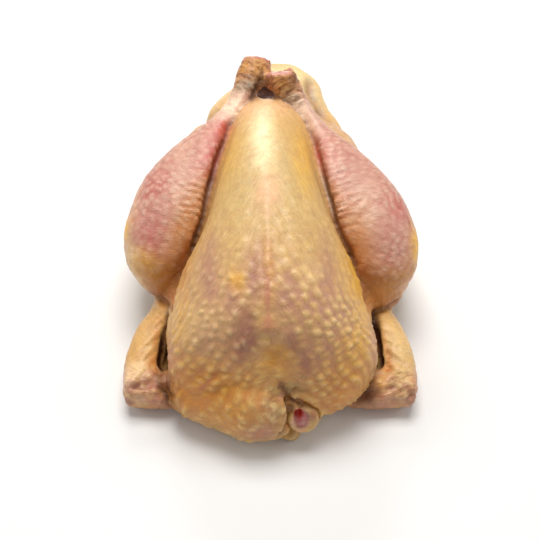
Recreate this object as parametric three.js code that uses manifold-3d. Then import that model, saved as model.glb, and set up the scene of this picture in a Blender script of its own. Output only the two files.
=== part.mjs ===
// A whole guinea fowl, plucked and dressed, raw, lying on its back with the breast up.
// Millimetres, +Z up. The neck end points to -Y and the tail to +Y.
// The bird is one piece: every form below is a closed loft, and all of them are joined into one solid.
import * as THREE from "three";
import { LoftGeometry } from "three/addons/geometries/LoftGeometry.js";
import { mergeVertices } from "three/addons/utils/BufferGeometryUtils.js";
import Module from "manifold-3d";

const wasm = await Module();
wasm.setup();

// Body: where it starts at the neck and ends at the rump, and how far in from each end it rounds off
const neckEndY = -118;
const rumpY = 108;
const neckDome = 27;
const rumpDome = 26;
const neckBluntness = 2.8; // 2 rounds off like an ellipse, more is blunter
const backFullness = 0.75; // below 1 the back is squarer than an ellipse
const bodyRings = 48;
const bodyAround = 54;

// Wing and leg sizes used more than once
const wristX = 66.5;
const wristOverhang = 10; // how far the hand's rounded end reaches outside the wrist's centre
const forearmRadius = 10;
const shankRadius = 6.4;
const hockRadius = 9.2;

const smallestEnd = 0.05; // share of a section's size left at the tip of a rounded end
const mergeWithin = 1e-4;
const pressDepth = 40;
const pressWidth = 400;

// Cross sections of the body along Y: sideways place of the keel, half width, heights of the back, of the
// widest line and of the keel, and how peaked the breast is (1 is an ellipse, 2 a parabola).
const bodyStations = [
  { y: -118, mid: 0, half: 48, back: 3, side: 26, top: 56, peak: 1.05 },
  { y: -100, mid: 0, half: 50.5, back: 0, side: 31, top: 74, peak: 1.1 },
  { y: -82, mid: 0, half: 51, back: -3, side: 35, top: 84, peak: 1.2 },
  { y: -62, mid: -0.5, half: 50, back: -5, side: 38, top: 91, peak: 1.3 },
  { y: -40, mid: 0, half: 46, back: -6, side: 40, top: 95, peak: 1.4 },
  { y: 0, mid: -2, half: 41, back: -6, side: 42, top: 98, peak: 1.45 },
  { y: 30, mid: -3, half: 38, back: -5, side: 42, top: 96, peak: 1.45 },
  { y: 50, mid: -3, half: 38, back: -4, side: 40, top: 87, peak: 1.4 },
  { y: 68, mid: -1, half: 41, back: -3, side: 36, top: 70, peak: 1.2 },
  { y: 86, mid: 1, half: 43, back: -1, side: 32, top: 58, peak: 1.05 },
  { y: 108, mid: 3, half: 38, back: 4, side: 29, top: 50, peak: 1 },
];

// Limbs, given for the side at -X: centre line, and radii sideways and upwards at each of its stations.
// startDome and endDome are the lengths over which the two ends round off.
const thigh = {
  rings: 18,
  around: 24,
  startDome: 16,
  endDome: 14,
  stations: [
    { at: [-12, 90, 34], across: 18, up: 20 },
    { at: [-25, 66, 35], across: 21, up: 24 },
    { at: [-39, 38, 35], across: 23.5, up: 25.5 },
    { at: [-51, 8, 36], across: 26, up: 26 },
    { at: [-58, -18, 37], across: 24, up: 23 },
    { at: [-52, -50, 29], across: 15, up: 16 },
  ],
};
const drumstick = {
  rings: 30,
  around: 24,
  startDome: 12,
  endDome: 2,
  stations: [
    { at: [-57, -44, 33], across: 14, up: 14 },
    { at: [-59, -33, 42], across: 19, up: 18.5 },
    { at: [-58, -21, 50], across: 20.5, up: 20 },
    { at: [-54, -8, 57], across: 20.5, up: 20 },
    { at: [-47, 6, 64], across: 18, up: 18 },
    { at: [-38, 20, 71], across: 13.5, up: 13.5 },
    { at: [-29.5, 32, 77], across: 9, up: 9 },
    { at: [-21, 44, 83], across: shankRadius, up: shankRadius },
    { at: [-15.5, 53, 88], across: 7.4, up: 7.2 },
    { at: [-11, 61, 93], across: hockRadius, up: hockRadius - 1 },
    { at: [-7, 70, 98.5], across: hockRadius - 0.4, up: hockRadius - 1.4 },
  ],
};
const upperArm = {
  rings: 12,
  around: 16,
  startDome: 9,
  endDome: 8,
  stations: [
    { at: [-35, -98, 28], across: 13, up: 15 },
    { at: [-38.5, -86, 31], across: 13.5, up: 16 },
    { at: [-43, -62, 30], across: 12, up: 14 },
    { at: [-48, -34, 26], across: 11, up: 12 },
    { at: [-49, -8, 22], across: 11, up: 11 },
  ],
};
const forearm = {
  rings: 16,
  around: 18,
  startDome: 9,
  endDome: 8,
  stations: [
    { at: [-wristX, -96, 11], across: 10.5, up: 10.5 },
    { at: [-wristX - 0.5, -86, 12.5], across: forearmRadius, up: 10 },
    { at: [-65, -72, 14.5], across: forearmRadius, up: 10 },
    { at: [-59.5, -57, 17], across: forearmRadius, up: 10.5 },
    { at: [-51, -38, 20], across: 10.5, up: 12 },
    { at: [-44, -14, 22], across: 11, up: 12 },
  ],
};
const hand = {
  rings: 14,
  around: 18,
  startDome: 9,
  endDome: 6,
  stations: [
    { at: [-wristX - wristOverhang, -95.5, 10.5], across: 10.5, up: 10.5 },
    { at: [-wristX, -95.5, 10.5], across: 10.5, up: 10.5 },
    { at: [-54, -96, 10], across: 10.5, up: 10.5 },
    { at: [-40, -95, 8], across: 9.5, up: 9 },
    { at: [-17, -91, 4], across: 7, up: 6 },
  ],
};

// The two legs aren't set alike: how far the leg at +X is moved at its two ends
const farLegShift = { knee: [1.5, -4, -2], hock: [-3.5, -10, -0.5] };
const farThighShift = { hip: [1.5, 0, 0], knee: [-1, -8, -5] };

const tail = {
  rings: 14,
  around: 26,
  startDome: 12,
  endDome: 9,
  stations: [
    { at: [0.5, 82, 29], across: 49, up: 26 },
    { at: [2.5, 96, 34], across: 45, up: 23.5 },
    { at: [5.5, 109, 40], across: 36, up: 19 },
    { at: [10, 121, 48], across: 26, up: 14 },
    { at: [14, 131, 56], across: 17, up: 10 },
  ],
};

// Slack skin of the neck, folded to one side of the cut neck, and its torn lower edge
const neckSkin = {
  rings: 16,
  around: 22,
  startDome: 9,
  endDome: 9,
  stations: [
    { at: [-43.5, -95, 19], across: 13.5, up: 15 },
    { at: [-37, -102, 18], across: 14, up: 17 },
    { at: [-24, -107, 19], across: 14, up: 20 },
    { at: [-9, -112, 20], across: 16, up: 22 },
    { at: [3, -113, 19], across: 13, up: 20 },
    { at: [10, -110, 16], across: 8, up: 15 },
  ],
};
const neckFlap = {
  rings: 6,
  around: 12,
  startDome: 4,
  endDome: 1.5,
  stations: [
    { at: [9, -98, 9], across: 8, up: 8 },
    { at: [9.5, -112, 5], across: 6, up: 5 },
    { at: [10.5, -122, 3], across: 4.5, up: 2.5 },
  ],
};
const neckStump = {
  rings: 8,
  around: 18,
  startDome: 4,
  endDome: 1.5,
  stations: [
    { at: [15, -94, 15], across: 11, up: 12 },
    { at: [16, -109, 18], across: 10, up: 10.5 },
    { at: [16.5, -121, 21], across: 8.5, up: 8.5 },
  ],
};

// A smooth rise through [place, value] pairs that never overshoots them
function smoothThrough(pairs) {
  const slopes = pairs.map((pair, i) => {
    if (i === 0 || i === pairs.length - 1) return 0;
    const before = (pair[1] - pairs[i - 1][1]) / (pair[0] - pairs[i - 1][0]);
    const after = (pairs[i + 1][1] - pair[1]) / (pairs[i + 1][0] - pair[0]);
    return before * after > 0 ? (2 * before * after) / (before + after) : 0;
  });
  return (place) => {
    const last = pairs.length - 2;
    const found = pairs.findIndex((pair, n) => n <= last && place <= pairs[n + 1][0]);
    const i = found < 0 ? last : found;
    const width = pairs[i + 1][0] - pairs[i][0];
    const t = Math.min(1, Math.max(0, (place - pairs[i][0]) / width));
    const rise = t * t * (3 - 2 * t);
    const leave = t * (1 - t) ** 2 * width * slopes[i];
    const arrive = t * t * (t - 1) * width * slopes[i + 1];
    return pairs[i][1] * (1 - rise) + pairs[i + 1][1] * rise + leave + arrive;
  };
}

// 0 at a rounded end and 1 from one dome length in
function dome(distance, length, bluntness = 2) {
  if (distance >= length) return 1;
  return Math.max(0, 1 - (1 - distance / length) ** bluntness) ** (1 / bluntness);
}

// Places from 0 to 1 that lie closer together near both ends
function endWeighted(i, count) {
  return (1 - Math.cos((i / count) * Math.PI)) / 2;
}

// A closed geometry as a solid that can be joined and cut
function solidOf(geometry) {
  const bare = new THREE.BufferGeometry();
  bare.setAttribute("position", geometry.getAttribute("position"));
  bare.setIndex(geometry.getIndex());
  const merged = mergeVertices(bare, mergeWithin);
  return new wasm.Manifold(
    new wasm.Mesh({
      numProp: 3,
      vertProperties: merged.attributes.position.array,
      triVerts: new Uint32Array(merged.index.array),
    }),
  );
}

function geometryOf(solid) {
  const mesh = solid.getMesh();
  const geometry = new THREE.BufferGeometry();
  geometry.setAttribute("position", new THREE.BufferAttribute(mesh.vertProperties, 3));
  geometry.setIndex(new THREE.BufferAttribute(mesh.triVerts, 1));
  geometry.computeVertexNormals();
  return geometry;
}

function loftSolid(sections) {
  return solidOf(new LoftGeometry(sections, { capStart: true, capEnd: true }));
}

// Breast, back and belly
function bodySolid() {
  const size = {};
  for (const key of ["mid", "half", "back", "side", "top", "peak"]) {
    size[key] = smoothThrough(bodyStations.map((station) => [station.y, station[key]]));
  }
  const sections = [];
  for (let i = 0; i <= bodyRings; i++) {
    const y = neckEndY + (rumpY - neckEndY) * endWeighted(i, bodyRings);
    const neckEnd = dome(y - neckEndY, neckDome, neckBluntness);
    const end = Math.max(smallestEnd, Math.min(neckEnd, dome(rumpY - y, rumpDome)));
    const side = size.side(y);
    const section = [];
    for (let j = 0; j < bodyAround; j++) {
      const turn = (j / bodyAround) * 2 * Math.PI;
      const across = Math.sin(turn);
      const up = Math.cos(turn);
      const fullness = up < 0 ? backFullness : 1;
      const reach = Math.sign(across) * Math.abs(across) ** fullness * size.half(y);
      const rise = up < 0 ? (size.back(y) - side) * (-up) ** fullness : (size.top(y) - side) * up ** size.peak(y);
      section.push(new THREE.Vector3(size.mid(y) + reach * end, y, side + rise * end));
    }
    sections.push(section);
  }
  return loftSolid(sections);
}

// A limb of elliptical sections along a smooth line through its stations
function limbSolid({ stations, rings, around, startDome, endDome }) {
  const line = new THREE.CatmullRomCurve3(
    stations.map(({ at }) => new THREE.Vector3(...at)),
    false,
    "centripetal",
  );
  const places = stations.map((_, i) => i / (stations.length - 1));
  const across = smoothThrough(stations.map((station, i) => [places[i], station.across]));
  const up = smoothThrough(stations.map((station, i) => [places[i], station.up]));
  const length = line.getLength();
  const vertical = new THREE.Vector3(0, 0, 1);
  const sections = [];
  for (let i = 0; i <= rings; i++) {
    const t = endWeighted(i, rings);
    const tangent = line.getTangent(t);
    const aside = new THREE.Vector3().crossVectors(tangent, vertical).normalize();
    const above = new THREE.Vector3().crossVectors(aside, tangent).normalize();
    const start = dome(t * length, startDome);
    const end = Math.max(smallestEnd, Math.min(start, dome((1 - t) * length, endDome)));
    const section = [];
    for (let j = 0; j < around; j++) {
      const turn = (j / around) * 2 * Math.PI;
      const point = line.getPoint(t);
      point.addScaledVector(above, Math.cos(turn) * up(t) * end);
      point.addScaledVector(aside, Math.sin(turn) * across(t) * end);
      section.push(point);
    }
    sections.push(section);
  }
  return loftSolid(sections);
}

// The same limb on the other side of the bird, moved by firstShift at its first station and lastShift at its last
function mirrored(limb, firstShift = [0, 0, 0], lastShift = [0, 0, 0]) {
  const stations = limb.stations.map((station, i) => {
    const t = i / (limb.stations.length - 1);
    const shift = firstShift.map((first, n) => first * (1 - t) + lastShift[n] * t);
    const [x, y, z] = station.at;
    return { ...station, at: [-x + shift[0], y + shift[1], z + shift[2]] };
  });
  return { ...limb, stations };
}

function carcassSolid() {
  const limbs = [
    tail,
    neckSkin,
    neckFlap,
    neckStump,
    thigh,
    drumstick,
    mirrored(thigh, farThighShift.hip, farThighShift.knee),
    mirrored(drumstick, farLegShift.knee, farLegShift.hock),
  ];
  for (const wingPart of [upperArm, forearm, hand]) {
    limbs.push(wingPart, mirrored(wingPart));
  }
  return limbs.reduce((joined, limb) => joined.add(limbSolid(limb)), bodySolid());
}

// What lies on the table is pressed flat by the bird's own weight
function pressedFlat(solid) {
  const below = new THREE.BoxGeometry(pressWidth, pressWidth, pressDepth).translate(0, 0, -pressDepth / 2);
  return solid.subtract(solidOf(below));
}

// The origin lies on the table, at the middle of the bird's width and length
function centred(geometry) {
  geometry.computeBoundingBox();
  const middle = geometry.boundingBox.getCenter(new THREE.Vector3());
  return geometry.translate(-middle.x, -middle.y, 0);
}

const skin = new THREE.MeshStandardMaterial({ color: 0xe0b06a, roughness: 0.45, metalness: 0 });
skin.name = "raw_skin";

const bird = new THREE.Group();
const fowl = new THREE.Mesh(centred(geometryOf(pressedFlat(carcassSolid()))), skin);
fowl.name = "guinea_fowl";
bird.add(fowl);

export default bird;
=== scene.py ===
# A whole raw guinea fowl on its back: moist skin, cut neck and cut hocks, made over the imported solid
import math
import bpy
import numpy as np
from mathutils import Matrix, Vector, noise


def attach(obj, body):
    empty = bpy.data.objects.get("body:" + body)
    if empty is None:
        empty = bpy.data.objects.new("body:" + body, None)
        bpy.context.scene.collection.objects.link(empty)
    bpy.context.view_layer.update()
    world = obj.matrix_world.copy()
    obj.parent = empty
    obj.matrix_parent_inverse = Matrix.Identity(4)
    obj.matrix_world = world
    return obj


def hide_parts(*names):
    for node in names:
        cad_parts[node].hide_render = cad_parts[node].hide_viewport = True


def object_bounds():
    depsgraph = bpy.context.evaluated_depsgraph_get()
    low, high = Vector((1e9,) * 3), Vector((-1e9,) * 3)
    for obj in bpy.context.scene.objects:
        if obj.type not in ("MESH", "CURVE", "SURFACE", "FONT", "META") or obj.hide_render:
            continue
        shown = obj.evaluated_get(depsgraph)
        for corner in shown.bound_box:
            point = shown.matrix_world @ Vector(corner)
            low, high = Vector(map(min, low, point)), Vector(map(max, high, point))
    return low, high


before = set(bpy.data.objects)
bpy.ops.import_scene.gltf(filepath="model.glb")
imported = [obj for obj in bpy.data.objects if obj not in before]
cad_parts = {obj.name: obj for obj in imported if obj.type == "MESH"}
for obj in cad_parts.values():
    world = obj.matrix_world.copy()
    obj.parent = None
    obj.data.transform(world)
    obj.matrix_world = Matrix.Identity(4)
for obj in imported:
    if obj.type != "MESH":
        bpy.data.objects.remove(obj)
cadBox = [[float(value) for value in corner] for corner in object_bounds()]
print("frame loaded, box", cadBox)

# Places below are in mm from a point 0.122 mm right of the frame's origin and 4.021 mm in front of it
placeShift = (-0.122, 4.021, 0.0)
mm = 0.001


def toFrame(place):
    return Vector([(value - shift) * mm for value, shift in zip(place, placeShift)])


# Limb centre lines: x, y, z, radius sideways, radius upwards. Left is the side at -X.
limbLines = {
    "drumstickLeft": [
        (-57, -44, 33, 14, 14), (-59, -33, 42, 19, 18.5), (-58, -21, 50, 20.5, 20), (-54, -8, 57, 20.5, 20),
        (-47, 6, 64, 18, 18), (-38, 20, 71, 13.5, 13.5), (-29.5, 32, 77, 9, 9), (-21, 44, 83, 6.4, 6.4),
        (-15.5, 53, 88, 7.4, 7.2), (-11, 61, 93, 9.2, 8.2), (-7, 70, 98.5, 8.8, 7.8),
    ],
    "thighLeft": [
        (-12, 90, 34, 18, 20), (-25, 66, 35, 21, 24), (-39, 38, 35, 23.5, 25.5), (-51, 8, 36, 26, 26),
        (-58, -18, 37, 24, 23), (-52, -50, 29, 15, 16),
    ],
    "upperArmLeft": [
        (-35, -98, 28, 13, 15), (-38.5, -86, 31, 13.5, 16), (-43, -62, 30, 12, 14), (-48, -34, 26, 11, 12),
        (-49, -8, 22, 11, 11),
    ],
    "forearmLeft": [
        (-66.5, -96, 11, 10.5, 10.5), (-67, -86, 12.5, 10, 10), (-65, -72, 14.5, 10, 10),
        (-59.5, -57, 17, 10, 10.5), (-51, -38, 20, 10.5, 12), (-44, -14, 22, 11, 12),
    ],
    "handLeft": [
        (-76.5, -95.5, 10.5, 10.5, 10.5), (-66.5, -95.5, 10.5, 10.5, 10.5), (-54, -96, 10, 10.5, 10.5),
        (-40, -95, 8, 9.5, 9), (-17, -91, 4, 7, 6),
    ],
    "tail": [
        (0.5, 82, 29, 49, 26), (2.5, 96, 34, 45, 23.5), (5.5, 109, 40, 36, 19), (10, 121, 48, 26, 14),
        (14, 131, 56, 17, 10),
    ],
    "neckSkin": [
        (-43.5, -95, 19, 13.5, 15), (-37, -102, 18, 14, 17), (-24, -107, 19, 14, 20), (-9, -112, 20, 16, 22),
        (3, -113, 19, 13, 20), (10, -110, 16, 8, 15),
    ],
    "neckStump": [(15, -94, 15, 11, 12), (16, -109, 18, 10, 10.5), (16.5, -121, 21, 8.5, 8.5)],
}
# The right side is the left one mirrored, then moved this far at the first and the last place of each line
rightShifts = {
    "drumstick": ((1.5, -4, -2), (-3.5, -10, -0.5)),
    "thigh": ((1.5, 0, 0), (-1, -8, -5)),
    "forearm": ((0, 0, 0), (0, 0, 0)),
    "upperArm": ((0, 0, 0), (0, 0, 0)),
    "hand": ((0, 0, 0), (0, 0, 0)),
}

# The breast: y, sideways place of the keel, half width, height of the widest line, height of the keel
breastStations = [
    (-118, 0, 48, 26, 56), (-100, 0, 50.5, 31, 74), (-82, 0, 51, 35, 84), (-62, -0.5, 50, 38, 91),
    (-40, 0, 46, 40, 95), (0, -2, 41, 42, 98), (30, -3, 38, 42, 96), (50, -3, 38, 40, 87),
    (68, -1, 41, 36, 70), (86, 1, 43, 32, 58), (108, 3, 38, 29, 50),
]


def mirroredLine(line, firstShift, lastShift):
    moved = []
    for i, (x, y, z, across, up) in enumerate(line):
        t = i / (len(line) - 1)
        shift = [a * (1 - t) + b * t for a, b in zip(firstShift, lastShift)]
        moved.append((-x + shift[0], y + shift[1], z + shift[2], across, up))
    return moved


for limb, (firstShift, lastShift) in rightShifts.items():
    limbLines[limb + "Right"] = mirroredLine(limbLines[limb + "Left"], firstShift, lastShift)


def smoothStep(low, high, value):
    t = np.clip((value - low) / (high - low), 0, 1)
    return t * t * (3 - 2 * t)


def softNoise(points, sizeMm, seed=0):
    # One value from -1 to 1 a point, with lumps about sizeMm across
    offset = Vector((seed * 17.3, seed * 5.1, seed * 9.7))
    return np.array([noise.noise(Vector(p) / sizeMm + offset) for p in points])


def sampledLine(line, steps=90):
    # Evenly stepped points along a limb: place, radii, length so far, and the two side directions
    keys = np.array(line, float)
    places = np.linspace(0, len(keys) - 1, steps)
    dense = np.stack([np.interp(places, range(len(keys)), keys[:, k]) for k in range(5)], 1)
    for _ in range(6):
        dense[1:-1] = (dense[:-2] + 2 * dense[1:-1] + dense[2:]) / 4
    path = dense[:, :3]
    tangent = np.gradient(path, axis=0)
    tangent /= np.linalg.norm(tangent, axis=1)[:, None]
    aside = np.cross(tangent, (0, 0, 1.0))
    aside /= np.linalg.norm(aside, axis=1)[:, None]
    above = np.cross(aside, tangent)
    run = np.concatenate([[0], np.cumsum(np.linalg.norm(np.diff(path, axis=0), axis=1))])
    return {"path": path, "radii": dense[:, 3:], "aside": aside, "above": above, "run": run}


def limbCoordinates(points, line):
    # Each point's run along the limb in mm, turn round it in radians, mean radius, and depth (1 on its skin)
    limb = sampledLine(line)
    nearest = np.empty(len(points), int)
    for start in range(0, len(points), 20000):
        part = points[start:start + 20000]
        nearest[start:start + 20000] = np.argmin(
            ((part[:, None, :] - limb["path"][None]) ** 2).sum(2), axis=1)
    offset = points - limb["path"][nearest]
    sideways = (offset * limb["aside"][nearest]).sum(1)
    upwards = (offset * limb["above"][nearest]).sum(1)
    radii = limb["radii"][nearest]
    over = np.linalg.norm(offset, axis=1) ** 2 - sideways ** 2 - upwards ** 2
    depth = np.sqrt((sideways / radii[:, 0]) ** 2 + (upwards / radii[:, 1]) ** 2
                    + np.maximum(over, 0) / radii.mean(1) ** 2)
    return {
        "run": limb["run"][nearest],
        "turn": np.arctan2(sideways, upwards),
        "radius": radii.mean(1),
        "depth": depth,
        "length": limb["run"][-1],
    }


def breastCoordinates(points):
    # Run over the keel towards the tail and distance round from the keel in mm, and depth (1 on its skin)
    stations = np.array(breastStations, float)
    frontY, axisZ = -75.0, 30.0
    x, y, z = points.T
    ahead = np.minimum(y - frontY, 0)
    radius = np.sqrt(ahead ** 2 + (z - axisZ) ** 2)
    bend = np.arctan2(-ahead, z - axisZ)
    run = np.where(y < frontY, frontY - bend * 52, y)
    keelRadius = np.interp(run, [-150, -75, -40, 0, 30, 50, 86], [46, 56, 65, 68, 66, 57, 28])
    middle = np.interp(y, stations[:, 0], stations[:, 1])
    side = x - middle
    fromKeel = np.sign(side) * np.sqrt(side ** 2 + (keelRadius - radius) ** 2)
    half = np.interp(y, stations[:, 0], stations[:, 2])
    widest = np.interp(y, stations[:, 0], stations[:, 3])
    top = np.interp(y, stations[:, 0], stations[:, 4])
    upShare = np.where(z > widest, (z - widest) / (top - widest), (widest - z) / widest)
    depth = np.sqrt((side / half) ** 2 + upShare ** 2)
    return {"run": run, "round": fromKeel, "depth": depth}


def scattered(row, column, seed):
    # A repeatable value from 0 to 1 for each cell of a grid
    wave = np.sin(row * 12.9898 + column * 78.233 + seed * 37.719) * 43758.5453
    return wave - np.floor(wave)


def bumpGrid(u, v, alongStep, acrossStep, radius, seed):
    # Height from 0 to 1 of round bumps on a diamond grid, each a little off its place and size
    best = np.zeros(len(u))
    for half in (0.0, 0.5):
        row = np.round(u - half)
        column = np.round(v - half)
        offU = (scattered(row, column, seed + half) - 0.5) * 0.3
        offV = (scattered(column, row, seed + 3 + half) - 0.5) * 0.3
        distance = np.hypot((u - row - half - offU) * alongStep, (v - column - half - offV) * acrossStep)
        size = radius * (0.78 + 0.44 * scattered(row, column, seed + 7 + half))
        tall = 0.7 + 0.3 * scattered(row, column, seed + 11 + half)
        best = np.maximum(best, tall * np.exp(-(distance / size) ** 2))
    return best


def beadRows(u, v, alongStep, acrossStep, radius, seed):
    # Height from 0 to 1 of bumps strung along rows, with a low ridge under each row
    best = np.zeros(len(u))
    ridge = np.zeros(len(u))
    for step in (-1, 0, 1):
        row = np.round(v) + step
        start = scattered(row, row * 0 + 1, seed)
        bead = np.round(u - start)
        offU = (scattered(row, bead, seed + 1) - 0.5) * 0.45
        offV = (scattered(bead, row, seed + 2) - 0.5) * 0.42
        away = (v - row - offV) * acrossStep
        distance = np.hypot((u - start - bead - offU) * alongStep, away)
        size = radius * (0.85 + 0.35 * scattered(row, bead, seed + 5))
        tall = 0.35 + 0.65 * scattered(row, bead, seed + 9)
        best = np.maximum(best, tall * np.exp(-(distance / size) ** 2))
        ridge = np.maximum(ridge, np.exp(-(away / (1.25 * radius)) ** 2))
    return 0.86 * best + 0.14 * ridge


def toLine(points, line):
    # Distance in mm from each point to a line through the given places
    best = np.full(len(points), 1e9)
    line = [np.array(place, float) for place in line]
    for start, end in zip(line[:-1], line[1:]):
        step = end - start
        share = np.clip(((points - start) @ step) / (step @ step), 0, 1)
        best = np.minimum(best, np.linalg.norm(points - start - share[:, None] * step, axis=1))
    return best


def toPlace(points, centre, reach):
    return np.linalg.norm((points - np.array(centre, float)) / np.array(reach, float), axis=1)


def selectOnly(*pieces):
    # The last piece becomes the active one
    bpy.ops.object.select_all(action="DESELECT")
    for piece in pieces:
        piece.select_set(True)
        bpy.context.view_layer.objects.active = piece


def plainCopy(nodeName, pieceName):
    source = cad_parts[nodeName]
    mesh = source.data.copy()
    mesh.materials.clear()
    piece = bpy.data.objects.new(pieceName, mesh)
    bpy.context.scene.collection.objects.link(piece)
    selectOnly(piece)
    bpy.ops.object.mode_set(mode="EDIT")
    bpy.ops.mesh.select_all(action="SELECT")
    bpy.ops.mesh.remove_doubles(threshold=0.00001)
    bpy.ops.mesh.customdata_custom_splitnormals_clear()
    bpy.ops.object.mode_set(mode="OBJECT")
    return piece


def applied(piece, kind, name, **settings):
    bpy.context.view_layer.objects.active = piece
    modifier = piece.modifiers.new(name, kind)
    for key, value in settings.items():
        setattr(modifier, key, value)
    bpy.ops.object.modifier_apply(modifier=modifier.name)


def readPoints(piece):
    flat = np.zeros(len(piece.data.vertices) * 3)
    piece.data.vertices.foreach_get("co", flat)
    return flat.reshape(-1, 3) / mm + np.array(placeShift)


def writePoints(piece, points):
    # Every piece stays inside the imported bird's box
    box = np.array(cadBox) / mm + np.array(placeShift)
    flat = (np.clip(points, box[0], box[1]) - np.array(placeShift)) * mm
    piece.data.vertices.foreach_set("co", flat.ravel())
    piece.data.update()


def readNormals(piece):
    flat = np.zeros(len(piece.data.vertices) * 3)
    piece.data.vertices.foreach_get("normal", flat)
    return flat.reshape(-1, 3)


def readEdges(piece):
    flat = np.zeros(len(piece.data.edges) * 2, int)
    piece.data.edges.foreach_get("vertices", flat)
    return flat.reshape(-1, 2)


def spread(values, edges, rounds):
    # Each point takes the mean of itself and its neighbours, so that borders between regions blend
    values = np.array(values, float)
    flat = values.ndim == 1
    if flat:
        values = values[:, None]
    count = np.bincount(edges.ravel(), minlength=len(values)) + 1.0
    for _ in range(rounds):
        total = values.copy()
        for k in range(values.shape[1]):
            total[:, k] += np.bincount(edges[:, 0], values[edges[:, 1], k], len(values))
            total[:, k] += np.bincount(edges[:, 1], values[edges[:, 0], k], len(values))
        values = total / count[:, None]
    return values[:, 0] if flat else values


def weightGroup(piece, name, weights):
    group = piece.vertex_groups.new(name=name)
    steps = np.round(np.clip(weights, 0, 1) * 20).astype(int)
    for step in range(1, 21):
        chosen = np.where(steps == step)[0].tolist()
        if chosen:
            group.add(chosen, step / 20, "REPLACE")
    return name


def storeFloat(piece, name, values):
    layer = piece.data.attributes.new(name, "FLOAT", "POINT")
    layer.data.foreach_set("value", np.asarray(values, np.float32))


def storeVector(piece, name, values):
    layer = piece.data.attributes.new(name, "FLOAT_VECTOR", "POINT")
    layer.data.foreach_set("vector", np.asarray(values, np.float32).ravel())


def storeColour(piece, name, values):
    layer = piece.data.attributes.new(name, "FLOAT_COLOR", "POINT")
    full = np.concatenate([values, np.ones((len(values), 1))], 1)
    layer.data.foreach_set("color", full.astype(np.float32).ravel())


def fromHex(text):
    # sRGB hex to linear
    parts = [int(text[i:i + 2], 16) / 255 for i in (1, 3, 5)]
    linear = [value / 12.92 if value <= 0.04045 else ((value + 0.055) / 1.055) ** 2.4 for value in parts]
    return linear + [1.0]


def painted(paint, amount, colour):
    amount = np.clip(amount, 0, 1)[:, None]
    return paint * (1 - amount) + np.array(fromHex(colour)[:3]) * amount


def layered(paint, colours, layers):
    # Each layer goes over the ones before it: how much of it there is, and the name of its colour
    for amount, name in layers:
        paint = painted(paint, amount, colours[name])
    return paint


def joinTo(piece, other):
    # The other mesh becomes part of the piece
    selectOnly(other, piece)
    bpy.ops.object.join()


# Skin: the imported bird's own form, remeshed finely, then softened, folded and pimpled
skinValues = {
    "voxelMm": 1.24,
    "softenAll": 4,
    "softenJoins": 60,
    "bumpMm": 1.5,
    "legBulgeMm": (5.5, -2.0, 5.0),
    "bulgeReachMm": 12.5,
    "legCreaseMm": 3.0,
    "wingCreaseMm": 5.5,
    "hockCreaseMm": 1.5,
    "seed": 4,
}
skin = plainCopy("guinea_fowl", "bird_skin")

# A low web of skin joins each wing to the body at the bottom of the slot beside it, and is darkened there
# with painted shadow
websValues = {"places": [(52, -76, 4.4), (-52, -78, 4.4)], "reach": (9, 24, 4)}
for webPlace in websValues["places"]:
    bpy.ops.mesh.primitive_uv_sphere_add(segments=32, ring_count=16, radius=mm, location=toFrame(webPlace),
                                         scale=websValues["reach"])
    bpy.ops.object.transform_apply(location=True, rotation=True, scale=True)
    joinTo(skin, bpy.context.object)

# Each hock ends in a square cut, so a short cuff of skin is added round it
hockValues = {
    "left": {"centre": (-7.4, 70.8, 98.2), "facing": (0.0, 0.76, 0.65), "radius": 8.1},
    "right": {"centre": (5.4, 55.0, 100.6), "facing": (-0.03, 0.46, 0.88), "radius": 8.8},
    "cuffMm": 9.0, "discShare": 0.84, "discDepthMm": 2.6, "insets": 9,
    "rim": "#CB8C7C", "knuckle": "#D9B8A4", "middle": "#B0503F", "skinEdge": "#C98A6C",
}
for sideName in ("left", "right"):
    values = hockValues[sideName]
    turn = Vector(values["facing"]).to_track_quat("Z", "Y")
    bpy.ops.mesh.primitive_cylinder_add(
        vertices=48, radius=values["radius"] * mm, depth=hockValues["cuffMm"] * mm, rotation=turn.to_euler(),
        location=toFrame(values["centre"]) - turn @ Vector((0, 0, hockValues["cuffMm"] * mm / 2)))
    bpy.ops.object.transform_apply(location=True, rotation=True, scale=True)
    joinTo(skin, bpy.context.object)
applied(skin, "REMESH", "fineGrid", mode="VOXEL", use_smooth_shade=True,
        voxel_size=skinValues["voxelMm"] * mm)
print("skin remeshed,", len(skin.data.polygons), "faces")

# Which limb each point of the skin belongs to
points = readPoints(skin)
regions = {name: limbCoordinates(points, line) for name, line in limbLines.items()}
breast = breastCoordinates(points)
names = list(regions)
depths = np.stack([regions[name]["depth"] for name in names] + [breast["depth"]], 1)
order = np.argsort(depths, axis=1)
owner = order[:, 0]
neighbour = order[:, 1]
firstTwo = np.take_along_axis(depths, order[:, :2], 1)
borderGap = firstTwo[:, 1] - firstTwo[:, 0]

# The flesh just under each knee, from this place forwards and down, is the top of the wing
wingTops = {"Left": {"y": -48.5, "z": 29.5}, "Right": {"y": -55, "z": 29.5}}
for sideName, top in wingTops.items():
    knee = [names.index("thigh" + sideName), names.index("drumstick" + sideName)]
    underKnee = np.isin(owner, knee) & (points[:, 1] < top["y"]) & (points[:, 2] < top["z"])
    owner[underKnee] = names.index("forearm" + sideName)
    borderGap[underKnee] = 0.3

# The cuffs round the hocks are leg too, left or right of the gap between them
cuffs = {"fromY": 42, "fromZ": 92.5, "gapX": -0.5}
onCuff = (points[:, 2] > cuffs["fromZ"]) & (points[:, 1] > cuffs["fromY"]) & (owner == len(names))
cuffSide = np.where(points[:, 0] < cuffs["gapX"], names.index("drumstickLeft"), names.index("drumstickRight"))
owner[onCuff] = cuffSide[onCuff]
borderGap[onCuff] = 0.3


def numbers(*chosen):
    return [len(names) if name == "breast" else names.index(name) for name in chosen]


def owned(*chosen):
    return np.isin(owner, numbers(*chosen))


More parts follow.
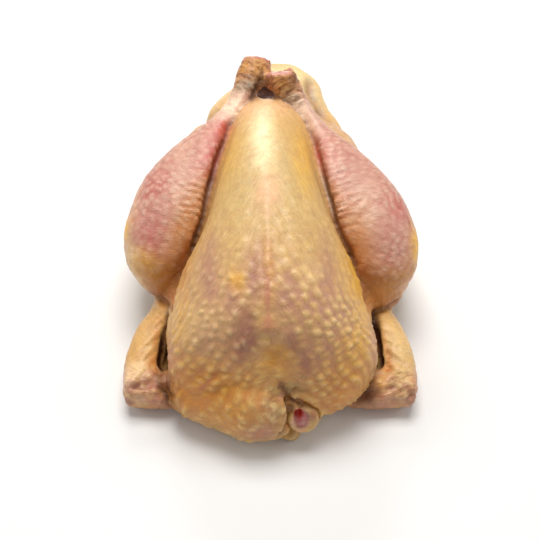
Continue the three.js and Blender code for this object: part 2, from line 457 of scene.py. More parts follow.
def between(first, second):
    # Points of either group whose nearest other form is in the other group
    a, b = numbers(*first), numbers(*second)
    return (np.isin(owner, a) & np.isin(neighbour, b)) | (np.isin(owner, b) & np.isin(neighbour, a))


def near(centre, reach):
    # 1 at the place, fading to a third one reach away
    return np.exp(-toPlace(points, centre, reach) ** 2)


def nearBoth(left, right, reach):
    return near(left, reach) + near(right, reach)


legNames = ["drumstickLeft", "drumstickRight"]
thighNames = ["thighLeft", "thighRight"]
wingNames = ["forearmLeft", "forearmRight", "handLeft", "handRight"]
onLeg = owned(*legNames)
onThigh = owned(*thighNames)
onWing = owned(*wingNames)
armNames = ["upperArmLeft", "upperArmRight"]
onBreast = owned("breast", *armNames)
onTail = owned("tail")
onNeckSkin = owned("neckSkin")
onStump = owned("neckStump")
frontSkin = onBreast | onNeckSkin
everywhere = np.ones(len(points), bool)

# Flesh flows over the joins that the skin covers, and stays creased where two forms only touch
hips = smoothStep(30, 75, points[:, 1]) * smoothStep(78, 60, points[:, 2])
under = smoothStep(-60, -30, points[:, 1]) * smoothStep(24, 10, points[:, 2])
joins = np.maximum.reduce([
    hips, under * 0.8, near((-58, -30, 26), 10), near((59, -36, 24), 10),
    near((-24, -107, 36), (22, 16, 9)), near((-64, -90, 14), 8), near((64, -90, 14), 8),
    near((-60, -61, 25), (9, 9, 7)), near((60, -66, 24), (9, 9, 7)),
])
hockTips = smoothStep(90, 95, points[:, 2]) * smoothStep(40, 48, points[:, 1])
applied(skin, "SMOOTH", "softenEdges", factor=0.5, iterations=skinValues["softenAll"],
        vertex_group=weightGroup(skin, "edges", 1 - 0.75 * hockTips))
applied(skin, "SMOOTH", "softenJoins", factor=0.5, iterations=skinValues["softenJoins"],
        vertex_group=weightGroup(skin, "joins", joins))
print("skin softened")

points = readPoints(skin)
edges = readEdges(skin)
normals = spread(readNormals(skin), edges, 4)
normals /= np.linalg.norm(normals, axis=1)[:, None]
x, y, z = points.T
seed = skinValues["seed"]
shinLeft, shinRight = [regions[name] for name in legNames]
legRun = np.where(x < 0, shinLeft["run"] / shinLeft["length"], shinRight["run"] / shinRight["length"])
lump = softNoise(points, 26, seed)
otherLump = softNoise(points, 26, seed + 1)
patchy = softNoise(points, 8, seed + 2)
speckle = softNoise(points, 3.2, seed + 3)

# Distances along and round each form, which wander a little
along = breast["run"].copy()
across = breast["round"].copy()
for name in [name for name in names if name not in armNames]:
    mine = owned(name)
    along[mine] = regions[name]["run"][mine]
    across[mine] = (regions[name]["turn"] * np.clip(regions[name]["radius"], 8, 22))[mine]
along[onNeckSkin] = breast["run"][onNeckSkin]
across[onNeckSkin] = breast["round"][onNeckSkin]

# Round the wrists they follow the place alone, so that forearm and hand share one run of wrinkles
wrists = nearBoth((-66, -98, 17), (65, -98, 17), (12, 9, 10))
plainShare = np.clip(nearBoth((-66, -98, 15), (65, -98, 15), (17, 14, 16)), 0, 0.5) * 2
along += (0.8 * (y + 100) + 0.6 * (76 - np.abs(x)) - along) * plainShare
across += (z + 0.4 * (y + 100) - 0.4 * (76 - np.abs(x)) - across) * plainShare
along = along + lump * 4 + patchy * 0.9
across = across + otherLump * 4 + softNoise(points, 9, seed + 8) * 0.9

# Follicles close together on the limbs, and in slanting rows away from the keel on the breast
rowStep = {"along": 5.0, "across": 6.4, "radius": 1.9, "keelAlong": 5.6, "leg": 5.0, "limb": 5.4}
limbStep = np.where(onLeg, rowStep["leg"], rowStep["limb"])
wideStep = limbStep * 1.12
dots = bumpGrid(along / limbStep, across / wideStep, limbStep, wideStep, 0.37 * limbStep, seed)
fromKeel = np.abs(across)
rowAlong = (fromKeel * 0.45 - along * 0.89) / rowStep["along"]
rowAcross = (fromKeel * 0.89 + along * 0.45) / rowStep["across"] + 40 * (across > 0)
rows = beadRows(rowAlong, rowAcross, rowStep["along"], rowStep["across"], rowStep["radius"], seed)
middleRows = beadRows(along / rowStep["keelAlong"], across / rowStep["across"],
                      rowStep["keelAlong"], rowStep["across"], rowStep["radius"], seed + 1)
keelShare = smoothStep(9, 3, fromKeel)
rows = rows * (1 - keelShare) + middleRows * keelShare
dots = np.where(frontSkin, rows, dots)

# How strongly each part is pimpled
pimpled = np.full(len(points), 0.4)
pimpled[onBreast] = (1.0 - 0.5 * smoothStep(-98, -66, y) - 0.38 * smoothStep(-62, -20, y))[onBreast]
pimpled[onLeg] = (0.8 * (1 - smoothStep(0.62, 0.76, legRun)) + 0.05)[onLeg]
for where, strength in ((onThigh, 0.6), (onWing, 0.25), (onNeckSkin, 0.85), (onStump, 0.0), (onTail, 0.3)):
    pimpled[where] = strength
pimpled = spread(pimpled, edges, 6)
pimpled *= smoothStep(0.0, 0.06, borderGap)

# Places where the skin is smoother: centre, reach in mm, and the share of the pimples that goes
smoothPlaces = [
    ((3, -111, 56), (8, 9, 10), 0.8), ((10, -116, 40), (8, 9, 5), 0.8),
    ((-60, -46, 48), (15, 10, 12), 0.7), ((62, -55, 40), (14, 10, 10), 0.6),
    ((-77, -27, 56), (6, 10, 9), 0.85), ((78, -35, 52), (8, 16, 13), 0.85),
]
for centre, reach, strength in smoothPlaces:
    pimpled *= 1 - strength * near(centre, reach)
pimpled = np.clip(pimpled * (0.92 + np.where(onLeg, 0.25, 0.45) * patchy), 0, 1)
rise = dots * pimpled * np.where(frontSkin, 1.05, 0.4) * skinValues["bumpMm"]

# Folds and ridges: a line of places, width and depth in mm; a ridge has a negative depth
foldLines = [
    ("breast", [(-3, -24, 97), (-1, -52, 93), (-0.9, -71, 88), (-0.9, -89, 81),
                (-0.9, -102, 71)], 3.4, -0.6),
    ("breast", [(-0.9, -102, 71), (-8, -104, 67), (-12, -107, 60), (-20, -112, 50)], 3.0, -0.5),
    ("breast", [(-0.9, -102, 71), (8, -104, 67), (14, -107, 60), (18, -111, 51)], 3.0, -0.5),
    ("front", [(-47, -109, 27), (-33, -111, 42), (-21, -112, 49)], 1.8, 0.6),
    ("front", [(-44, -107, 34), (-31, -110, 47)], 1.6, 0.5),
    ("front", [(-45, -112, 23), (-31, -114, 35), (-18, -115, 43)], 1.8, 0.6),
    ("front", [(6, -116, 42), (8, -117, 39), (9, -118, 36.5)], 1.5, 1.7),
    ("front", [(10, -116, 40.5), (13.5, -116.5, 38.5), (18, -116, 38)], 1.5, 1.0),
    ("front", [(9, -118, 35), (14, -117, 32), (18, -118, 28), (22, -119, 24)], 1.5, 2.2),
    ("front", [(8, -119, 35), (9.4, -121, 30), (9, -123, 26), (6.5, -124.5, 21), (4.4, -125, 14)], 1.5, 3.6),
    ("front", [(4.6, -119, 36), (5.4, -121.5, 32), (6, -124, 27), (4.5, -125.5, 22)], 1.3, -1.0),
    ("front", [(1.5, -119, 37), (2.4, -122, 31), (2, -125, 25)], 1.2, 0.6),
    ("front", [(6.6, -118, 38), (7.2, -121, 31)], 0.9, 0.7),
    ("all", [(-64, -49, 29), (-60.6, -50.6, 28.6), (-57, -54, 29), (-53, -58, 32)], 1.7, 2.2),
    ("all", [(68, -52, 28.5), (64, -55.4, 28.8), (60, -57.6, 28), (56, -60.5, 27), (52, -64, 28)], 1.8, 2.6),
    ("wing", [(-56, -58, 28), (-62, -62, 27), (-66, -69, 24)], 1.1, 0.5),
    ("wing", [(-56, -64, 26), (-63, -69, 25), (-68, -77, 22)], 1.1, 0.45),
    ("wing", [(-57, -71, 23), (-63, -77, 24), (-69, -86, 21)], 1.1, 0.45),
    ("wing", [(-58, -79, 21), (-64, -85, 22)], 1.1, 0.4),
    ("wing", [(-68, -101, 19), (-64.5, -99, 20), (-61.5, -101, 19.4)], 1.6, 1.5),
    ("wing", [(-61, -98, 20), (-57.5, -100, 19.6), (-54, -103, 18)], 1.5, 1.3),
    ("wing", [(-66, -97, 21), (-63, -93, 21.6)], 1.2, 0.9),
    ("wing", [(-54, -103, 17.5), (-48, -109, 24)], 2.2, 1.4),
    ("wing", [(-72, -96, 20), (-66, -96, 21), (-60, -97, 21)], 1.5, 0.7),
    ("wing", [(-73, -104, 12), (-70, -106, 11)], 1.4, 0.7),
    ("wing", [(-66, -105, 15), (-60, -104, 16)], 1.4, 0.5),
    ("wing", [(61, -71, 24), (67, -74, 24)], 1.4, 0.5),
    ("wing", [(62, -77, 23), (67, -81, 23)], 1.5, 0.6),
    ("wing", [(61, -81, 22), (65, -86, 22), (69, -90, 22), (72, -96, 21)], 1.6, 0.9),
    ("wing", [(61, -90, 20), (66, -94, 21), (69, -98, 21)], 1.5, 0.8),
    ("wing", [(60, -102, 18.6), (63.5, -100, 19.6), (67, -102, 18)], 1.6, 1.4),
    ("wing", [(67, -98, 20), (70.5, -101, 18), (72, -104, 15)], 1.4, 1.2),
    ("wing", [(63, -97, 21), (66, -94, 21.4)], 1.2, 0.9),
    ("wing", [(59, -106, 12.6), (65, -105, 14), (70, -105, 14)], 1.5, 0.7),
    ("wing", [(49, -104, 16), (54, -103, 18)], 2.2, 1.4),
    ("tail", [(25, 110, 54), (27, 100, 55), (31, 90, 52), (35, 76, 49)], 3.2, 2.0),
    ("tail", [(-14, 108, 54), (-22, 98, 53), (-27, 84, 50)], 3.6, 1.8),
    ("tail", [(30, 112, 40), (38, 98, 30), (44, 84, 22)], 4.0, 1.6),
    ("tail", [(-16, 112, 40), (-32, 98, 30), (-44, 84, 22)], 4.0, 1.6),
    ("tail", [(-10, 99, 57), (-2, 101, 58), (8, 100, 58)], 2.4, 1.2),
]
front = frontSkin | onStump
groups = {
    "breast": onBreast, "front": front, "wing": onWing | front, "tail": onTail | onThigh | onBreast,
    "all": everywhere,
}
folded = np.zeros(len(points))
for group, line, width, depth in foldLines:
    distance = toLine(points, line) + patchy * 0.5
    groove = np.exp(-(distance / width) ** 2)
    lips = np.exp(-((distance - 2.1 * width) / width) ** 2) * 0.3
    rise -= np.where(groups[group], (groove - lips) * depth, 0)
    folded = np.maximum(folded, np.where(groups[group], groove * np.clip(depth, 0, 2) / 2, 0))

# Hollows at the crop, over the neck and over the slots, pads of flesh at the hips and of fat at the knees:
# centre, reach and height in mm
pads = [
    ((2, -110, 57), (9, 12, 11), -1.7), ((11, -116.5, 40), (9, 10, 5), -1.3),
    ((-52, -59, 40), (5, 9, 8), -6.5), ((52, -64, 38), (5, 9, 8), -5.5),
    ((-45, 64, 36), (10, 18, 18), 5.0), ((45, 64, 36), (10, 18, 18), 5.0),
    ((-76, -26, 56), (10, 8, 8), 1.0), ((78, -33, 55), (10, 12, 10), 1.1),
]
for centre, reach, heightMm in pads:
    rise += heightMm * near(centre, reach)
rise += np.where(onLeg, 0.5 * otherLump, 0) + np.where(onBreast, 0.3 * lump, 0)

# The cut at the rear, with thick lips of skin
ventValues = {
    "place": (-2, 99, 54), "reach": (13, 9, 10), "deepMm": 7.5, "lipMm": 1.6,
    "corePlace": (-3.4, 103.5, 51), "coreReach": (11, 9, 10),
}
vent = near(ventValues["place"], ventValues["reach"])
ventReach = toPlace(points, ventValues["place"], ventValues["reach"])
ventLips = np.exp(-((ventReach - 1.35) / 0.28) ** 2) * (1 + 0.5 * patchy)
rise += ventValues["lipMm"] * ventLips - ventValues["deepMm"] * np.exp(-ventReach ** 4)

# Lumps of fat towards the tail, quill pits on its end, and dents along the thighs
rearLumps = smoothStep(40, 80, y) * (1 - onLeg) * smoothStep(0.6, 4, z)
rise += rearLumps * (1.3 * softNoise(points, 13, seed + 9) + 0.5 * patchy)
quills = bumpGrid(x / 7.0, z / 6.0, 7.0, 6.0, 1.7, seed + 2)
quills = quills * np.where(onTail, smoothStep(112, 122, y) * smoothStep(14, 24, z), 0)
rise += quills * 0.5 * smoothStep(46, 38, z)
thighDents = softNoise(np.stack([x, y * 0.5, z], 1), 16, seed + 10)
rise -= onThigh * 0.9 * np.clip(thighDents, 0, 1)

# The slots beside the wings: a line of places, width and depth in mm
slotLines = [
    ([(54, -60, 27), (55, -64, 24), (55.4, -72, 20), (57, -80, 16), (57.6, -86, 15)], 3.5, 2.8),
    ([(-51, -57, 32), (-53.5, -66, 26), (-56, -78, 17), (-57.5, -85, 15)], 3.0, 1.6),
]
slotShade = np.zeros(len(points))
for line, width, depth in slotLines:
    amount = np.exp(-(toLine(points, line) / width) ** 4)
    rise -= amount * depth
    slotShade = np.maximum(slotShade, amount)

# Fine relief: spacing and height of each kind in mm
relief = {
    "hockRings": (4.0, 0.8), "hockScales": (4.4, 0.35), "shankRipples": (5.0, 0.45), "legFolds": (4.4, 0.5),
    "crumples": (5.0, 0.5), "fineCrumples": (3.6, 0.22), "wrists": (5.0, 2.1), "raggedNeck": (2.8, 0.9),
}

# Ringed, scaly hocks, and ripples along the shanks
runMm = np.where(x < 0, shinLeft["run"], shinRight["run"])
hockZone = np.where(onLeg, smoothStep(0.8, 0.86, legRun), 0)
rings = np.abs(np.sin(runMm * math.pi / relief["hockRings"][0] + lump * 2 + patchy * 2.2))
scaly = np.abs(np.sin(across * math.pi / relief["hockScales"][0] + patchy * 2.5))
rise -= hockZone * relief["hockRings"][1] * (1 - rings) ** 2
rise -= hockZone * relief["hockScales"][1] * (1 - scaly) ** 3
shank = np.where(onLeg, smoothStep(0.62, 0.72, legRun) * smoothStep(0.86, 0.8, legRun), 0)
rise += shank * relief["shankRipples"][1] * np.sin(across * math.pi / relief["shankRipples"][0] + patchy)

# Short folds across the inner side of each drumstick, beside the breast
foldZone = np.clip(1.3 * nearBoth((-40, -27, 69), (39, -29, 69), (9, 17, 13)), 0, 1) * onLeg
legFolds = np.sin(2 * math.pi * along / relief["legFolds"][0] + 1.6 * patchy)
rise += relief["legFolds"][1] * foldZone * legFolds

# Wrinkled wrists and hands, and loose neck skin
wrinkleZone = np.where(onWing, 0.5 + 0.5 * smoothStep(-66, -92, y), 0)
wrinkleZone = np.maximum(wrinkleZone, np.where(onNeckSkin, 0.6, 0))
wrinkleZone = spread(wrinkleZone, edges, 4)
slant = np.stack([along + np.abs(across) * 0.5, across * 0.45, z * 0.3], 1)
crumple = 1 - np.abs(softNoise(slant, relief["crumples"][0], seed + 5)) * 2
fineCrumple = 1 - np.abs(softNoise(points, relief["fineCrumples"][0], seed + 6)) * 2
rise -= wrinkleZone * relief["crumples"][1] * np.clip(crumple, 0, 1) ** 3
rise -= wrinkleZone * relief["fineCrumples"][1] * np.clip(fineCrumple, 0, 1) ** 3
ragged = near((2, -122, 33), (6, 8, 9)) + 0.8 * near((7, -117, 42), (7, 7, 6))
wristLumps = relief["wrists"][1] * softNoise(points, relief["wrists"][0], seed + 11)
rise += np.clip(wrists, 0, 1) * (wristLumps + 0.7 * speckle)
neckTatters = relief["raggedNeck"][1] * softNoise(points * (1, 1, 0.4), relief["raggedNeck"][0], seed + 13)
rise += np.clip(ragged, 0, 1) * (neckTatters + 0.4 * speckle)

# Deep creases where the legs and wings only touch the breast, and their widths as shares of a limb's radius
creaseWidths = {"leg": 0.075, "knee": 0.09, "wing": 0.14, "hock": 0.12}
joins = spread(joins, edges, 2)
legCrease = np.where(between(legNames, ["breast"]), smoothStep(creaseWidths["leg"], 0.0, borderGap), 0)
kneeSide = between(thighNames, ["breast"]) & (y < -15)
kneeCrease = smoothStep(creaseWidths["knee"], 0.0, borderGap) * smoothStep(32, 42, z)
legCrease = np.maximum(legCrease, np.where(kneeSide, kneeCrease, 0))
wingSide = between(wingNames, armNames + ["breast", "neckSkin"])
wingCrease = np.where(wingSide, smoothStep(creaseWidths["wing"], 0.0, borderGap), 0)
hockCrease = smoothStep(creaseWidths["hock"], 0.0, borderGap) * smoothStep(99, 94, z)
hockCrease = np.where(between(legNames[:1], legNames[1:]), hockCrease, 0)
openShare = 1 - np.clip(joins * 1.3, 0, 1)
legCrease = spread(legCrease * openShare, edges, 2)
wingCrease = spread(wingCrease * openShare, edges, 2)
rise -= legCrease ** 1.3 * skinValues["legCreaseMm"] + wingCrease ** 1.3 * skinValues["wingCreaseMm"]
rise -= hockCrease * skinValues["hockCreaseMm"]
rise[z < 0.6] = 0
creased = np.clip(np.maximum.reduce([legCrease, wingCrease, hockCrease]), 0, 1)
points = points + normals * rise[:, None]

# The drumsticks swell in over the breast: places along each crease, and how far the flesh moves there
creaseLines = {
    1: [((-27, 28, 84), 0.45), ((-31, 16, 81), 0.95), ((-36, 0, 76), 1.1), ((-39, -13, 71), 1.1),
        ((-42, -25, 64), 1.2), ((-45, -36, 57), 1.0), ((-47, -44, 49), 0.6), ((-48, -60, 42), 0.0)],
    -1: [((22, 28, 85), 0.0), ((26, 16, 81), 0.2), ((33, -3, 75), 0.85), ((37, -18, 68), 1.1),
         ((40, -26, 64), 1.3), ((43, -35, 58), 1.15), ((46, -44, 51), 0.6), ((46, -60, 46), 0.0)],
}
for inwards, line in creaseLines.items():
    places = np.array([place for place, amount in line], float)
    amounts = np.array([amount for place, amount in line])
    closest = np.full(len(points), 1e9)
    amount = np.zeros(len(points))
    for k in range(len(places) - 1):
        step = places[k + 1] - places[k]
        share = np.clip(((points - places[k]) @ step) / (step @ step), 0, 1)
        distance = np.linalg.norm(points - places[k] - share[:, None] * step, axis=1)
        closer = distance < closest
        closest[closer] = distance[closer]
        amount[closer] = (amounts[k] + (amounts[k + 1] - amounts[k]) * share)[closer]
    push = np.array(skinValues["legBulgeMm"]) * (inwards, 1, 1)
    points += push * (amount * np.exp(-(closest / skinValues["bulgeReachMm"]) ** 2))[:, None]

# Sideways moves in mm of the breast's tip, the tops of both wings, the breast's right side and both shanks
sideMoves = [
    (everywhere, (0, 36, 88), (34, 22, 26), 2.6),
    (everywhere, (-65, -53, 25), (6, 8, 8), 3.0),
    (everywhere, (68, -56, 26), (6, 8, 8), -1.5),
    (onBreast, (50, -90, 34), (8, 14, 18), 2.6),
    (owned("drumstickLeft"), (-5.5, 53, 91), (6, 9, 7), -2.8),
    (owned("drumstickRight"), (-2, 50, 90), (6, 9, 7), 1.0),
]
for where, centre, reach, sideMm in sideMoves:
    points[:, 0] += sideMm * where * near(centre, reach)

# The skin stays behind the cut faces of the neck and the hocks: centre, facing, radius and depth in mm
neckCut = {"centre": (16.2, -121.6, 21.4), "facing": (0.02, -0.93, 0.36), "radius": 7.4, "depth": 5.0}
hockCut = {"insideDisc": 1.2, "depth": 1.5}
cutPlaces = [(neckCut["centre"], neckCut["facing"], neckCut["radius"], neckCut["depth"])]
for sideName in ("left", "right"):
    values = hockValues[sideName]
    cutRadius = values["radius"] * hockValues["discShare"] - hockCut["insideDisc"]
    cutPlaces.append((values["centre"], values["facing"], cutRadius, hockCut["depth"]))
for centre, facing, radius, depth in cutPlaces:
    axis = np.array(Vector(facing).normalized())
    ahead = (points - np.array(centre)) @ axis
    aside = np.linalg.norm(points - np.array(centre) - ahead[:, None] * axis, axis=1)
    sunk = np.maximum(ahead + depth, 0) * smoothStep(radius + 1.0, radius, aside) * (ahead < 8)
    points -= axis * sunk[:, None]
writePoints(skin, points)
applied(skin, "SMOOTH", "relaxCreases", factor=0.5, iterations=8,
        vertex_group=weightGroup(skin, "creases", creased * 0.9))
points = readPoints(skin)
print("skin folded and pimpled,", len(skin.data.vertices), "points")

# The colours of skin over fat, flesh and bone, and of the painted shade in creases and hollows and the
# painted highlight on the breast
skinColours = {
    "tan": "#D0A76C", "cream": "#EBCB90", "pale": "#FBE9B8", "fat": "#EDB548", "ochre": "#C68A3C",
    "orange": "#CB7A3A", "mauve": "#AC786C", "deepMauve": "#8E5850", "rose": "#B9625C", "pink": "#C08978",
    "rosy": "#C08274", "red": "#B23E2E", "brown": "#8E4C20", "deepShade": "#2A0F08", "olive": "#8C7748",
    "grey": "#A59B84", "peach": "#E8B48C", "bark": "#CC9454", "bone": "#F2D2B4", "legTop": "#E9C2A8",
    "rim": "#DB9C8C", "vent": "#4A150E", "breastTop": "#F0D2A4", "wing": "#D8A868", "hand": "#CC9470",
    "rump": "#E2BD82", "kneeBrown": "#B0702F", "shadow": "#5A2A14", "amber": "#CC8838",
    "ventFlesh": "#98543E", "innerLegShade": "#C0824A", "gold": "#DCA452", "honey": "#D8943A", "sand": "#C7AC7B",
    "goldTop": "#F2C680",
}
baseColours = {
    "breast": "tan", "tail": "rump", "neckSkin": "ochre", "neckStump": "cream",
    "drumstickLeft": "pink", "drumstickRight": "pink", "thighLeft": "tan", "thighRight": "tan",
    "upperArmLeft": "tan", "upperArmRight": "tan", "forearmLeft": "wing", "forearmRight": "wing",
    "handLeft": "hand", "handRight": "hand",
}
paint = np.zeros((len(points), 3))
otherPaint = np.zeros((len(points), 3))
for name, colour in baseColours.items():
    paint[owned(name)] = fromHex(skinColours[colour])[:3]
    otherPaint[neighbour == numbers(name)[0]] = fromHex(skinColours[colour])[:3]
limbBlend = np.where(between(legNames, thighNames), 0.5 * smoothStep(0.42, 0.0, borderGap), 0)[:, None]
paint = paint * (1 - limbBlend) + otherPaint * limbBlend
paint = spread(paint, edges, 8)
leftLeg = (onLeg | onThigh) & (x < 0)
rightLeg = (onLeg | onThigh) & (x > 0)
hocks = onLeg & (legRun > 0.7)
